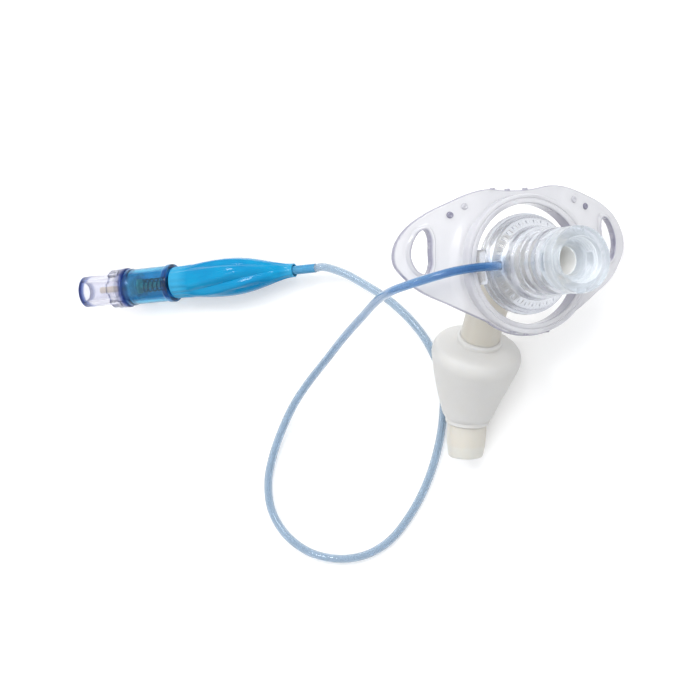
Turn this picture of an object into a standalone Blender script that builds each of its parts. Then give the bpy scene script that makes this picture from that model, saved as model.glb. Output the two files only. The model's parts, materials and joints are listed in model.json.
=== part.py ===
"""Cuffed tracheostomy tube: outer tube, swivelling neck flange, disposable inner tube and pilot balloon.

Metres, +Z up. The device is modelled in a frame of its own: X across the neck, Y to the back, Z up, with the
origin on the connector's axis at the hub's back face. It is then laid down as it comes to rest on a table, on
the end of its right wing, the side of its cuff and the side of its tip. The pilot balloon, its valve and the
loop of the inflation line lie on the same table.
"""

import math

import bmesh
import bpy
import numpy as np
from mathutils import Matrix, Vector

MM = 0.001

# Between pieces that are bonded, snapped or pushed together.
SEAT_GAP = 0.3 * MM

# Broken edges of the mouldings.
CORNER = 0.3 * MM
FINE_CORNER = 0.2 * MM
SHARP_ANGLE = math.radians(32)
WELD = 0.001 * MM

# Outer tube, measured along its centre line from the hub's back face to the tip.
TUBE_R = 4.7 * MM
TUBE_WALL = 0.75 * MM
TUBE_LENGTH = 62.0 * MM
TUBE_LEAD = 1.3 * MM
BEND_R = 21.4 * MM
BEND_ANGLE = math.radians(47.8)
SWEEP_R = 82.6 * MM
TIP_TAPER = 3.6 * MM
TIP_NARROWING = 0.45 * MM
TIP_SHOULDER = 0.65
TUBE_ROOT_THICKENING = 0.5 * MM
TUBE_ROOT_FRONT = 1.0 * MM
TUBE_STEP = 3.8 * MM

# Inner tube, which slides into the outer one and ends just inside its tip.
INNER_WALL = 0.4 * MM
INNER_SETBACK = 0.8 * MM

# Hub, a turned shell round the connector's axis; heights are forward of its back face.
HUB_R = 11.6 * MM
HUB_RIM = 1.5 * MM
RIM_GROOVE = 0.5 * MM
DOME_R = 10.4 * MM
DOME_TOP_R = 9.5 * MM
DOME_HEIGHT = 4.9 * MM
DOME_ROUND = 1.4 * MM
STEP_R = 8.3 * MM
STEP_ROUND = 0.8 * MM
STEP_HEIGHT = 9.0 * MM
NECK_R = 7.5 * MM
NECK_WALL = 1.3 * MM
NECK_HEIGHT = 19.0 * MM
ROOT_SETBACK = 4.4 * MM
ROOT_SEAT = 2.0 * MM

# Inner tube's connector, which snaps onto the neck.
CONNECTOR_R = 7.55 * MM
CONNECTOR_RIM = 3.8 * MM
CONNECTOR_REACH = 7.5 * MM
MOUTH_R = 5.1 * MM
SNAP_R = 6.6 * MM
SNAP_RIDGE = 0.45 * MM
SNAP_RIDGE_WIDTH = 0.6 * MM
SKIRT_DEPTH = 3.6 * MM
SOCKET_DEPTH = 3.2 * MM
FUNNEL_LIP = 2.6 * MM
KEY_WIDTH = 2.6 * MM
KEY_DEPTH = 1.5 * MM
KEY_BITE = 1.2 * MM
WINDOW_WIDTH = 4.0 * MM
WINDOW_BITE = 0.5 * MM

# Swivel: two pins on ears of the hub, in blind bearings in the flange's ring.
PIVOT_HEIGHT = 0.6 * MM
PIN_R = 1.3 * MM
PIN_CLEARANCE = 0.25 * MM
EAR_WIDTH = 8.0 * MM
EAR_THICKNESS = 3.0 * MM
EAR_CLEARANCE = 1.05 * MM
EAR_ROOT = 1.5 * MM
PIN_REACH = 1.65 * MM

# Neck flange: a deep ring with two swept wings, each with a slot for the neck strap.
RING_INNER_R = 13.75 * MM
RING_BAND = 2.45 * MM
RING_DEPTH = 5.2 * MM
RING_ROUND = 0.7 * MM
PLATE_THICKNESS = 1.6 * MM
PLATE_ROUND = 0.3 * MM
WING_ROOT_X = 10.0 * MM
WING_SWEEP = 6.5 * MM
WING_SWEEP_SPAN = 20.0 * MM
WING_SWEEP_POWER = 1.5
WING_STATIONS = (10, 13, 16.5, 20, 24, 28)
# Places on the right wing: angles from +X in degrees, and how far beyond the ring's outside in mm.
WING_EDGE_TURNS = (
    90.0, 76.834, 65.556, 53.893, 40.308, 29.799, 20.068, 11.05, 3.827, -2.454, -10.508, -22.834, -36.357, -49.927,
)
WING_EDGE_REACH = (
    0.7, 1.362, 3.133, 4.842, 7.142, 9.959, 12.652, 14.061, 13.767, 11.826, 9.023, 4.416, 1.681, 0.266,
)
SLOT_TURNS = (11.162, 18.898, 22.23, 20.247, 14.244, 8.552, 3.495, -0.69, -1.469, 3.053)
SLOT_REACH = (6.53, 7.265, 8.647, 9.807, 10.625, 10.699, 10.049, 8.702, 7.208, 6.332)
PIP_TURNS = (44.594, 34.948)
PIP_REACH = (3.741, 5.272)
SLOT_RIM = 0.9 * MM
SLOT_RIM_RISE = 0.45 * MM
PIP_R = 0.6 * MM

# Cuff: a tapered film bonded to the tube at two collars.
CUFF_START = 31.0 * MM
CUFF_LENGTH = 22.6 * MM
CUFF_R = 10.7 * MM
CUFF_NOSE_R = 5.9 * MM
CUFF_SHOULDER = 5.4 * MM
CUFF_COLLAR = 1.2 * MM
CUFF_NOSE_ROUND = 0.6 * MM
# Shares of the way to the widest ring and of its height, then shares of the way to the nose.
CUFF_RISE = [(0.12, 0.30), (0.16, 0.62), (0.36, 0.88), (0.66, 0.985), (1.0, 1.0)]
CUFF_FALL = [0.14, 0.3, 0.5, 0.7, 0.88, 1.0]
CUFF_FALL_POWER = 1.15
FILM = 0.3 * MM

# Inflation line and the socket that it leaves the hub by.
LINE_R = 1.0 * MM
LINE_HEIGHT = 4.65 * MM
LINE_SOCKET_DEPTH = 1.4 * MM
LINE_LEAD = 5.0 * MM
SLEEVE_LEAD = 2.0 * MM

# Pilot balloon and valve, along their own axis from the line's end to the luer mouth.
SLEEVE_R = 1.1 * MM
SLEEVE_LENGTH = 8.2 * MM
SLEEVE_BORE_R = 0.45 * MM
BALLOON_START = 6.0 * MM
BALLOON_LENGTH = 34.0 * MM
BALLOON_R = 4.75 * MM
BALLOON_NECK_R = 3.95 * MM
# Shares of the balloon's length and of its rise, first over the tail's radius and then over the neck's.
BALLOON_CONE = [(0.05, 0.0), (0.13, 0.2), (0.24, 0.5), (0.35, 0.78), (0.46, 0.95), (0.56, 1.0)]
BALLOON_SHOULDER = [(0.7, 0.8), (0.84, 0.25), (0.92, 0.0), (1.0, 0.0)]
HOUSING_R = 4.6 * MM
HOUSING_LENGTH = 13.0 * MM
HOUSING_WALL = 0.9 * MM
SPIGOT_LENGTH = 3.4 * MM
COLLAR_R = 5.0 * MM
COLLAR_RING = 1.8 * MM
COLLAR_TEETH = 6
TOOTH_LENGTH = 2.6 * MM
TOOTH_SHARE = 0.55
LUER_R = 3.95 * MM
LUER_LENGTH = 8.8 * MM
LUER_MOUTH_R = 2.4 * MM
LUER_TAPER = 0.03
SEAT_WALL = 1.2 * MM
SEAT_HOLE_R = 1.35 * MM
SKIRT_LENGTH = 3.6 * MM
SKIRT_WALL = 0.7 * MM
STEM_R = 0.8 * MM
STEM_TIP_DEPTH = 4.8 * MM
HEAD_R = 1.9 * MM
HEAD_THICKNESS = 1.1 * MM
SEAL_THICKNESS = 0.7 * MM
GUIDE_CLEARANCE = 1.0 * MM
SPRING_R = 1.55 * MM
SPRING_WIRE_R = 0.24 * MM
SPRING_TURNS = 6
SPRING_STEPS = 10
VALVE_TRAVEL = 1.5 * MM

# Where the pilot balloon lies on the table: the end of the line, and the way to the luer mouth.
PILOT_PLACE = (17.4 * MM, 62.0 * MM)
PILOT_HEADING = math.radians(91.2)
TABLE_CLEARANCE = 0.05 * MM

# The device's first guess at the way down, in its own frame, and how often that guess is settled.
FIRST_DOWN = (0.85, 0.51, -0.12)
SETTLING_TURNS = 12

# The line's way between its two leads, in mm: over the left wing, round its loop on the table and up.
LINE_OVER_WING = [
    (12.6, 5.2, 46.2), (11.6, 9.2, 49.0), (10.4, 14.4, 49.8), (9.3, 20.2, 47.6), (7.7, 27.8, 40.0),
    (4.2, 38.2, 28.4), (-0.4, 48.3, 19.2), (-5.6, 57.0, 12.6), (-10.3, 64.2, 8.0), (-15.4, 70.2, 5.0),
    (-20.9, 74.8, 3.0), (-28.0, 79.0, 1.7),
]
LINE_LOOP = [
    (-34.6, 81.3), (-41.5, 81.0), (-47.8, 77.6), (-52.6, 71.2), (-54.6, 63.0), (-53.8, 55.2), (-50.6, 48.6),
    (-45.0, 42.9), (-37.6, 37.8), (-28.8, 33.9), (-19.8, 31.7), (-11.4, 31.5), (-3.4, 34.4), (2.6, 38.6),
]
LINE_TO_SLEEVE = [(8.6, 44.7, 1.5), (12.6, 50.2, 2.7), (15.6, 54.8, 4.1)]
LINE_POINTS = 72
LINE_FINE_STEPS = 24

ROUND_SIDES = 40
RING_SIDES = 60
ARC_STEPS = 8
TUBE_SIDES = 24
LINING_SIDES = 18
SMALL_SIDES = 24
COLLAR_SIDES = 36
STEM_SIDES = 14
PIN_SIDES = 16

AXIS_X = Vector((1, 0, 0))
AXIS_Y = Vector((0, 1, 0))
AXIS_Z = Vector((0, 0, 1))


def clear_scene():
    for thing in list(bpy.data.objects):
        bpy.data.objects.remove(thing, do_unlink=True)


def plastic(name, colour, roughness=0.25, alpha=1.0):
    """A plastic or film of this colour, clear where alpha is low."""
    material = bpy.data.materials.new(name)
    material.use_nodes = True
    shader = material.node_tree.nodes["Principled BSDF"]
    shader.inputs["Base Color"].default_value = (*colour, 1.0)
    shader.inputs["Roughness"].default_value = roughness
    shader.inputs["Metallic"].default_value = 0.0
    shader.inputs["Alpha"].default_value = alpha
    return material


def metal(name, colour, roughness):
    material = plastic(name, colour, roughness)
    material.node_tree.nodes["Principled BSDF"].inputs["Metallic"].default_value = 1.0
    return material


def empty(name, matrix=None, parent=None):
    frame = bpy.data.objects.new(name, None)
    bpy.context.scene.collection.objects.link(frame)
    frame.parent = parent
    if matrix is not None:
        frame.matrix_local = matrix
    return frame


def add_object(name, mesh_maker, material=None, parent=None):
    """A named object from a bmesh drawn in its parent's frame."""
    mesh = bpy.data.meshes.new(name)
    bmesh.ops.recalc_face_normals(mesh_maker, faces=mesh_maker.faces)
    mesh_maker.to_mesh(mesh)
    mesh_maker.free()
    mesh.shade_smooth()
    mesh.set_sharp_from_angle(angle=SHARP_ANGLE)
    thing = bpy.data.objects.new(name, mesh)
    bpy.context.scene.collection.objects.link(thing)
    thing.parent = parent
    if material:
        mesh.materials.append(material)
    return thing


def combine(target, operation, tools, solver="EXACT"):
    """Cuts each tool from the target, or joins it on, and hides the tool."""
    for tool in tools:
        tool.hide_render = True
        tool.display_type = "WIRE"
        boolean = target.modifiers.new(tool.name, "BOOLEAN")
        boolean.operation = operation
        boolean.solver = solver
        boolean.object = tool


def circle(radius, angles):
    return [(radius * math.cos(a), radius * math.sin(a)) for a in angles]


def along_axis(s):
    """The straight axis: the centre and the normal at s to the back."""
    return Vector((0, s, 0)), AXIS_Z


def along_tube(s):
    """The tube's centre line: straight, then a tight bend, then a long sweep to the tip."""
    bend_end = TUBE_LEAD + BEND_R * BEND_ANGLE
    if s <= TUBE_LEAD:
        return along_axis(s)
    angle = min(s - TUBE_LEAD, bend_end - TUBE_LEAD) / BEND_R
    centre = Vector((0, TUBE_LEAD + BEND_R * math.sin(angle), BEND_R * (math.cos(angle) - 1)))
    if s > bend_end:
        further = angle + (s - bend_end) / SWEEP_R
        centre.y += SWEEP_R * (math.sin(further) - math.sin(angle))
        centre.z += SWEEP_R * (math.cos(further) - math.cos(angle))
        angle = further
    return centre, Vector((0, math.sin(angle), math.cos(angle)))


def turned(profile, sides, line=along_axis):
    """A body turned round a line: the profile's (s, r) points ring it, and a zero r closes it."""
    maker = bmesh.new()
    rings = []
    for s, radius in profile:
        centre, normal = line(s)
        if radius == 0:
            rings.append([maker.verts.new(centre)])
            continue
        turn = circle(radius, np.linspace(0, 2 * math.pi, sides, endpoint=False))
        rings.append([maker.verts.new(centre + x * AXIS_X + z * normal) for x, z in turn])
    solid = len(rings[0]) == 1
    for first, second in zip(rings, rings[1:] if solid else rings[1:] + rings[:1]):
        for i in range(sides):
            j = (i + 1) % sides
            if len(first) == 1:
                maker.faces.new((first[0], second[i], second[j]))
            elif len(second) == 1:
                maker.faces.new((first[i], first[j], second[0]))
            else:
                maker.faces.new((first[i], first[j], second[j], second[i]))
    return maker


def block(low, high):
    """A box between two corners."""
    maker = bmesh.new()
    bmesh.ops.create_cube(maker, size=1.0)
    low, high = Vector(low), Vector(high)
    bmesh.ops.scale(maker, verts=maker.verts, vec=high - low)
    bmesh.ops.translate(maker, verts=maker.verts, vec=(low + high) / 2)
    return maker


def side_block(side, span, y, depth, width):
    """A box at one side of the axis, across this span of X and centred at this Y."""
    ends = sorted(side * x for x in span)
    return block((ends[0], y - depth / 2, -width / 2), (ends[1], y + depth / 2, width / 2))


def crossways(x_start, x_end, radius, height):
    """A cylinder along X, at this height forward of the hub's back face."""
    maker = bmesh.new()
    spin = Matrix.Rotation(math.pi / 2, 4, "Y")
    middle = Matrix.Translation(((x_start + x_end) / 2, -height, 0))
    bmesh.ops.create_cone(
        maker, cap_ends=True, segments=PIN_SIDES, radius1=radius, radius2=radius,
        depth=abs(x_end - x_start), matrix=middle @ spin,
    )
    return maker


def spread(start, end, step):
    """Evenly spaced places from start to end, no further apart than the step."""
    count = max(1, math.ceil(abs(end - start) / step))
    return [start + (end - start) * i / count for i in range(count + 1)]


def smooth_through(points, steps, closed):
    """A centripetal curve through the points, with this many places between neighbours."""
    points = [np.array(p, float) for p in points]
    count = len(points)
    if closed:
        knots = [points[i % count] for i in range(-1, count + 2)]
    else:
        knots = [2 * points[0] - points[1], *points, 2 * points[-1] - points[-2]]
    curve = []
    for a, b, c, d in zip(knots, knots[1:], knots[2:], knots[3:]):
        t1 = math.sqrt(np.linalg.norm(b - a))
        t2 = t1 + math.sqrt(np.linalg.norm(c - b))
        t3 = t2 + math.sqrt(np.linalg.norm(d - c))
        for t in np.linspace(t1, t2, steps, endpoint=False):
            ab = a * (t1 - t) / t1 + b * t / t1
            bc = b * (t2 - t) / (t2 - t1) + c * (t - t1) / (t2 - t1)
            cd = c * (t3 - t) / (t3 - t2) + d * (t - t2) / (t3 - t2)
            abc = ab * (t2 - t) / t2 + bc * t / t2
            bcd = bc * (t3 - t) / (t3 - t1) + cd * (t - t1) / (t3 - t1)
            curve.append(abc * (t2 - t) / (t2 - t1) + bcd * (t - t1) / (t2 - t1))
    if not closed:
        curve.append(points[-1])
    return np.array(curve)


def sweep_back(maker):
    """Bends a flat plate back from each wing's root."""
    for vert in maker.verts:
        beyond = max(abs(vert.co.x) - WING_ROOT_X, 0)
        vert.co.y += WING_SWEEP * (beyond / WING_SWEEP_SPAN) ** WING_SWEEP_POWER


def swept_plate(outlines, thickness, rounding, stations):
    """A plate with rounded edges from closed outlines across X and Z, holes among them, swept back."""
    drawing = bpy.data.curves.new("outline", "CURVE")
    drawing.dimensions = "2D"
    drawing.fill_mode = "BOTH"
    drawing.extrude = thickness / 2 - rounding
    drawing.bevel_depth = rounding
    drawing.bevel_resolution = 0
    drawing.offset = -rounding
    for outline in outlines:
        spline = drawing.splines.new("POLY")
        spline.points.add(len(outline) - 1)
        spline.use_cyclic_u = True
        for point, (x, z) in zip(spline.points, outline):
            point.co = (x, z, 0, 1)
    holder = bpy.data.objects.new("outline", drawing)
    maker = bmesh.new()
    maker.from_mesh(holder.to_mesh())
    holder.to_mesh_clear()
    bpy.data.objects.remove(holder)
    bmesh.ops.remove_doubles(maker, verts=maker.verts, dist=WELD)
    bmesh.ops.rotate(maker, verts=maker.verts, matrix=Matrix.Rotation(math.pi / 2, 3, "X"))
    for x in stations:
        everything = [*maker.verts, *maker.edges, *maker.faces]
        bmesh.ops.bisect_plane(maker, geom=everything, plane_co=(x, 0, 0), plane_no=(1, 0, 0), dist=WELD)
    bmesh.ops.triangulate(maker, faces=maker.faces)
    sweep_back(maker)
    return maker


def root_front():
    """Where the outer tube's root ends inside the hub's neck, along the tube's centre line."""
    return -(NECK_HEIGHT - ROOT_SETBACK)


def outer_cannula(frame):
    """Curved tube with a thicker root inside the hub and a tapered tip, open at both ends."""
    bore = TUBE_R - TUBE_WALL
    root = TUBE_R + TUBE_ROOT_THICKENING
    taper = TUBE_LENGTH - TIP_TAPER
    tip = TUBE_R - TIP_NARROWING
    outside = [
        (root_front(), root - FINE_CORNER), (root_front() + FINE_CORNER, root), (-TUBE_ROOT_FRONT, root),
        (0.0, TUBE_R), *[(s, TUBE_R) for s in spread(TUBE_LEAD, taper, TUBE_STEP)],
        (taper + TIP_SHOULDER * TIP_TAPER, (TUBE_R + tip) / 2), (TUBE_LENGTH - CORNER, tip),
        (TUBE_LENGTH, tip - FINE_CORNER),
    ]
    inside = [(s, bore) for s in (TUBE_LENGTH, *spread(taper, TUBE_LEAD, TUBE_STEP), root_front())]
    cream = plastic("tube_pvc", (0.86, 0.83, 0.76), 0.35, 0.8)
    return add_object("outer_cannula", turned(outside + inside, TUBE_SIDES, along_tube), cream, frame)


def inner_cannula_tube(frame):
    """Thin curved tube from the connector's socket to just inside the outer tube's tip."""
    outer = TUBE_R - TUBE_WALL - SEAT_GAP
    inner = outer - INNER_WALL
    start = socket_floor() + SEAT_GAP
    end = TUBE_LENGTH - INNER_SETBACK
    places = [start, *spread(TUBE_LEAD, end, TUBE_STEP)]
    profile = [(s, outer) for s in places] + [(s, inner) for s in reversed(places)]
    clear = plastic("inner_pvc", (0.9, 0.9, 0.86), 0.3, 0.6)
    return add_object("inner_cannula_tube", turned(profile, LINING_SIDES, along_tube), clear, frame)


def hub_body(frame):
    """Turned hub with two ears and pins for the flange and a socket for the inflation line."""
    bore = TUBE_R + TUBE_ROOT_THICKENING + SEAT_GAP
    neck_bore = NECK_R - NECK_WALL
    profile = [
        (0.0, bore), (0.0, HUB_R - CORNER), (-CORNER, HUB_R), (-HUB_RIM, HUB_R),
        (-HUB_RIM - RIM_GROOVE, HUB_R - RIM_GROOVE), (-DOME_HEIGHT + DOME_ROUND, DOME_R),
        (-DOME_HEIGHT, DOME_TOP_R), (-DOME_HEIGHT - DOME_ROUND, STEP_R + CORNER),
        (-STEP_HEIGHT + STEP_ROUND, STEP_R), (-STEP_HEIGHT, STEP_R - CORNER), (-STEP_HEIGHT - CORNER, NECK_R),
        (-NECK_HEIGHT + CORNER, NECK_R), (-NECK_HEIGHT, NECK_R - CORNER), (-NECK_HEIGHT, neck_bore),
        (root_front() - SEAT_GAP, neck_bore), (root_front() + ROOT_SEAT, bore),
    ]
    clear = plastic("hub_clear", (0.8, 0.85, 0.9), 0.12, 0.45)
    hub = add_object("hub_body", turned(profile, ROUND_SIDES), clear, frame)
    pins = []
    for side, name in ((1, "right"), (-1, "left")):
        span = (HUB_R - EAR_ROOT, RING_INNER_R - EAR_CLEARANCE)
        ear = side_block(side, span, -PIVOT_HEIGHT, EAR_THICKNESS, EAR_WIDTH)
        pin_root = side * (HUB_R - EAR_ROOT / 2)
        pin = crossways(pin_root, side * (RING_INNER_R + PIN_REACH), PIN_R, PIVOT_HEIGHT)
        pins += [add_object(name + "_ear", ear, parent=frame), add_object(name + "_pin", pin, parent=frame)]
    combine(hub, "UNION", pins)
    socket = crossways(-2 * HUB_R, -line_exit_x(), LINE_R + SEAT_GAP, LINE_HEIGHT)
    combine(hub, "DIFFERENCE", [add_object("line_socket", socket, parent=frame)])
    return hub


def line_exit_x():
    """Distance from the axis to the floor of the inflation line's socket in the dome."""
    return (DOME_R + DOME_TOP_R) / 2 - LINE_SOCKET_DEPTH


def socket_floor():
    """Where the inner tube's root ends in its socket, along the tube's centre line."""
    return -(NECK_HEIGHT - SKIRT_DEPTH + SOCKET_DEPTH)


def inner_cannula_connector(frame):
    """Turned connector: a 15 mm front collar, two snap ridges, a skirt in the neck and a funnel."""
    tube_outer = TUBE_R - TUBE_WALL - SEAT_GAP
    skirt_r = NECK_R - NECK_WALL - SEAT_GAP
    skirt_end = -(NECK_HEIGHT - SKIRT_DEPTH)
    front = -(NECK_HEIGHT + CONNECTOR_REACH)
    rim_back = front + CONNECTOR_RIM
    shoulder = -(NECK_HEIGHT + SEAT_GAP)
    outside = [(front, CONNECTOR_R - CORNER), (front + CORNER, CONNECTOR_R), (rim_back, CONNECTOR_R)]
    outside.append((rim_back, SNAP_R))
    crest = SNAP_R + SNAP_RIDGE
    for ridge in (rim_back + SNAP_RIDGE_WIDTH, rim_back + 3 * SNAP_RIDGE_WIDTH):
        after = ridge + SNAP_RIDGE_WIDTH
        outside += [(ridge, SNAP_R), (ridge, crest), (after, crest), (after, SNAP_R)]
    outside += [(shoulder, SNAP_R), (shoulder, skirt_r)]
    outside += [(skirt_end - CORNER, skirt_r), (skirt_end, skirt_r - CORNER)]
    socket, bore = tube_outer + SEAT_GAP, tube_outer - INNER_WALL
    inside = [
        (skirt_end, socket), (socket_floor(), socket), (socket_floor(), bore),
        (front + FUNNEL_LIP, MOUTH_R - CORNER), (front + CORNER, MOUTH_R), (front, MOUTH_R + FINE_CORNER),
    ]
    frosted = plastic("connector_frosted", (0.82, 0.88, 0.92), 0.45, 0.7)
    connector = add_object("inner_cannula_connector", turned(outside + inside, ROUND_SIDES), frosted, frame)
    cuts = []
    for side, name in ((1, "top"), (-1, "bottom")):
        key = side_block(side, (CONNECTOR_R - KEY_BITE, 2 * CONNECTOR_R), front, 2 * KEY_DEPTH, KEY_WIDTH)
        bmesh.ops.rotate(key, verts=key.verts, matrix=Matrix.Rotation(math.pi / 2, 3, "Y"))
        cuts.append(add_object(name + "_key", key, parent=frame))
    window = (rim_back + CORNER, shoulder - CORNER)
    for side, name in ((1, "right"), (-1, "left")):
        span = (SNAP_R - WINDOW_BITE, 2 * SNAP_R)
        opening = side_block(side, span, sum(window) / 2, window[1] - window[0], WINDOW_WIDTH)
        cuts.append(add_object(name + "_window", opening, parent=frame))
    combine(connector, "DIFFERENCE", cuts)
    return connector


def both_sides(half):
    """A closed outline from its right half, top to bottom, by mirroring it across Z."""
    return [*half, *[(-x, z) for x, z in reversed(half[1:-1])]]


def wing_places(turns, reaches):
    """Points across X and Z from angles in degrees and distances in mm beyond the ring's outside."""
    radii = [RING_INNER_R + RING_BAND + reach * MM for reach in reaches]
    return [(r * math.cos(math.radians(turn)), r * math.sin(math.radians(turn))) for r, turn in zip(radii, turns)]


def neck_flange(frame):
    """Deep ring and two swept wings in one moulding, with its origin on the pins' axis."""
    pivot = (0.0, -PIVOT_HEIGHT, 0.0)
    swivel = empty("flange_swivel_axis", Matrix.Translation(pivot), frame)
    edge = smooth_through(wing_places(WING_EDGE_TURNS, WING_EDGE_REACH), 2, False)
    start = math.radians(WING_EDGE_TURNS[-1])
    hidden = RING_INNER_R + RING_BAND - RING_ROUND
    arc = circle(hidden, np.linspace(start, -math.pi / 2, ARC_STEPS)[1:])
    outline = both_sides([tuple(p) for p in edge] + arc)
    middle = RING_INNER_R + RING_BAND / 2
    hole = circle(middle, np.linspace(0, 2 * math.pi, RING_SIDES, endpoint=False))
    slot = smooth_through(wing_places(SLOT_TURNS, SLOT_REACH), 2, True)
    outward = slot - slot.mean(axis=0)
    outward /= np.linalg.norm(outward, axis=1)[:, None]
    rim, rim_seat = slot + SLOT_RIM * outward, slot + SLOT_RIM / 2 * outward
    rim_seats = [[(side * x, z) for x, z in rim_seat] for side in (1, -1)]
    stations = [side * x * MM for side in (1, -1) for x in WING_STATIONS]
    clear = plastic("flange_clear", (0.86, 0.87, 0.92), 0.1, 0.4)
    plate = swept_plate([outline, hole, *rim_seats], PLATE_THICKNESS, PLATE_ROUND, stations)
    flange = add_object("neck_flange", plate, clear, swivel)
    joined = [add_object("flange_ring", turned(ring_section(), RING_SIDES), parent=swivel)]
    cut = []
    for side, name in ((1, "right"), (-1, "left")):
        pair = [[(side * x, z) for x, z in outline] for outline in (rim, slot)]
        rims = swept_plate(pair, PLATE_THICKNESS + 2 * SLOT_RIM_RISE, PLATE_ROUND, stations)
        joined.append(add_object(name + "_slot_rim", rims, parent=swivel))
        for i, (x, z) in enumerate(wing_places(PIP_TURNS, PIP_REACH)):
            joined.append(add_object(f"{name}_pip_{i}", pip(side * x, z), parent=swivel))
        bearing_end = side * (RING_INNER_R + PIN_REACH + PIN_CLEARANCE)
        bearing = crossways(side * RING_INNER_R / 2, bearing_end, PIN_R + PIN_CLEARANCE, PIVOT_HEIGHT)
        cut.append(add_object(name + "_bearing", bearing, parent=swivel))
    # The exact solver leaves gaps where the plate's faces meet the ring's at some sizes.
    combine(flange, "UNION", joined, "MANIFOLD")
    combine(flange, "DIFFERENCE", cut, "MANIFOLD")
    for thing in (flange, *joined, *cut):
        thing.location = -Vector(pivot)
    return flange


def ring_section():
    """The ring's rounded section, centred on the pins' height."""
    inner, outer = RING_INNER_R, RING_INNER_R + RING_BAND
    back, front = RING_DEPTH / 2 - PIVOT_HEIGHT, -RING_DEPTH / 2 - PIVOT_HEIGHT
    corner = RING_ROUND
    section = []
    for r, s, start in ((outer, back, 0), (outer, front, 90), (inner, front, 180), (inner, back, 270)):
        middle_r = r - corner if r == outer else r + corner
        middle_s = s - corner if s == back else s + corner
        for turn in (start, start + 90):
            angle = math.radians(turn)
            section.append((middle_s + corner * math.cos(angle), middle_r + corner * math.sin(angle)))
    return section


def pip(x, z):
    """A small domed pip on the front of a wing."""
    maker = bmesh.new()
    bmesh.ops.create_uvsphere(maker, u_segments=8, v_segments=4, radius=PIP_R)
    bmesh.ops.translate(maker, verts=maker.verts, vec=(x, -PLATE_THICKNESS / 2, z))
    sweep_back(maker)
    return maker


def cuff(frame):
    """Tapered film sleeve, open at the two collars that are bonded to the tube."""
    collar = TUBE_R + SEAT_GAP + FILM
    start, end = CUFF_START, CUFF_START + CUFF_LENGTH
    crest = start + CUFF_SHOULDER
    foot, nose = start + CUFF_COLLAR, end - CUFF_COLLAR - CUFF_NOSE_ROUND
    outside = [(start, collar), (foot, collar)]
    for share, height in CUFF_RISE:
        outside.append((foot + share * (crest - foot), collar + height * (CUFF_R - collar)))
    for share in CUFF_FALL:
        narrowing = (CUFF_R - CUFF_NOSE_R) * share ** CUFF_FALL_POWER
        outside.append((crest + share * (nose - crest), CUFF_R - narrowing))
    outside += [(end - CUFF_COLLAR, collar), (end, collar)]
    milky = plastic("cuff_film", (0.88, 0.87, 0.83), 0.4, 0.6)
    return add_object("cuff", turned(outside + film_inside(outside), TUBE_SIDES, along_tube), milky, frame)


def film_inside(outside):
    """The inner face of a film, one thickness inside its profile, run back the other way."""
    inside = []
    for i, (s, r) in enumerate(outside):
        before, after = outside[max(i - 1, 0)], outside[min(i + 1, len(outside) - 1)]
        along, across = after[0] - before[0], after[1] - before[1]
        if i in (0, len(outside) - 1):
            along, across = 1.0, 0.0
        length = math.hypot(along, across)
        inside.append((s + FILM * across / length, r - FILM * along / length))
    return inside[::-1]


def balloon_tail_sleeve(pilot):
    """Short tube that joins the line to the balloon's tail."""
    profile = [
        (0.0, SLEEVE_BORE_R), (0.0, SLEEVE_R - FINE_CORNER), (FINE_CORNER, SLEEVE_R), (SLEEVE_LENGTH, SLEEVE_R),
        (SLEEVE_LENGTH, SLEEVE_BORE_R),
    ]
    cyan = plastic("sleeve_cyan", (0.35, 0.66, 0.88), 0.25, 0.8)
    return add_object("balloon_tail_sleeve", turned(profile, STEM_SIDES), cyan, pilot)


def pilot_balloon(pilot):
    """Blown film balloon: a long cone at its tail, then nearly straight to the neck on the valve's spigot."""
    tail = SLEEVE_R + SEAT_GAP + FILM
    outside = [(BALLOON_START, tail)]
    for low, shape in ((tail, BALLOON_CONE), (BALLOON_NECK_R, BALLOON_SHOULDER)):
        for share, height in shape:
            outside.append((BALLOON_START + share * BALLOON_LENGTH, low + height * (BALLOON_R - low)))
    blue = plastic("balloon_blue", (0.02, 0.42, 0.8), 0.15, 0.9)
    return add_object("pilot_balloon", turned(outside + film_inside(outside), SMALL_SIDES), blue, pilot)


def housing_base():
    """Where the valve housing's shoulder stands, along the pilot's axis."""
    return BALLOON_START + BALLOON_LENGTH + SEAT_GAP


def valve_housing(pilot):
    """Blue cup that holds the spring, with a bored spigot into the balloon's neck."""
    base = housing_base()
    spigot = BALLOON_NECK_R - FILM - SEAT_GAP
    inner = HOUSING_R - HOUSING_WALL
    tail, floor, rim = base - SPIGOT_LENGTH, base + HOUSING_WALL, base + HOUSING_LENGTH
    profile = [
        (tail, STEM_R), (tail, spigot - CORNER), (tail + CORNER, spigot), (base, spigot),
        (base, HOUSING_R - CORNER), (base + CORNER, HOUSING_R), (rim, HOUSING_R), (rim, inner), (floor, inner),
        (floor, STEM_R),
    ]
    deep_blue = plastic("housing_blue", (0.02, 0.3, 0.62), 0.15, 0.75)
    return add_object("valve_housing", turned(profile, SMALL_SIDES), deep_blue, pilot)


def collar_base():
    """Where the castellated collar's ring stands, in front of the housing."""
    return housing_base() + HOUSING_LENGTH + SEAT_GAP


def valve_seat():
    """The back face of the wall that the seal closes."""
    return collar_base() - SEAT_WALL


def luer_mouth():
    return collar_base() + COLLAR_RING + TOOTH_LENGTH + LUER_LENGTH


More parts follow.
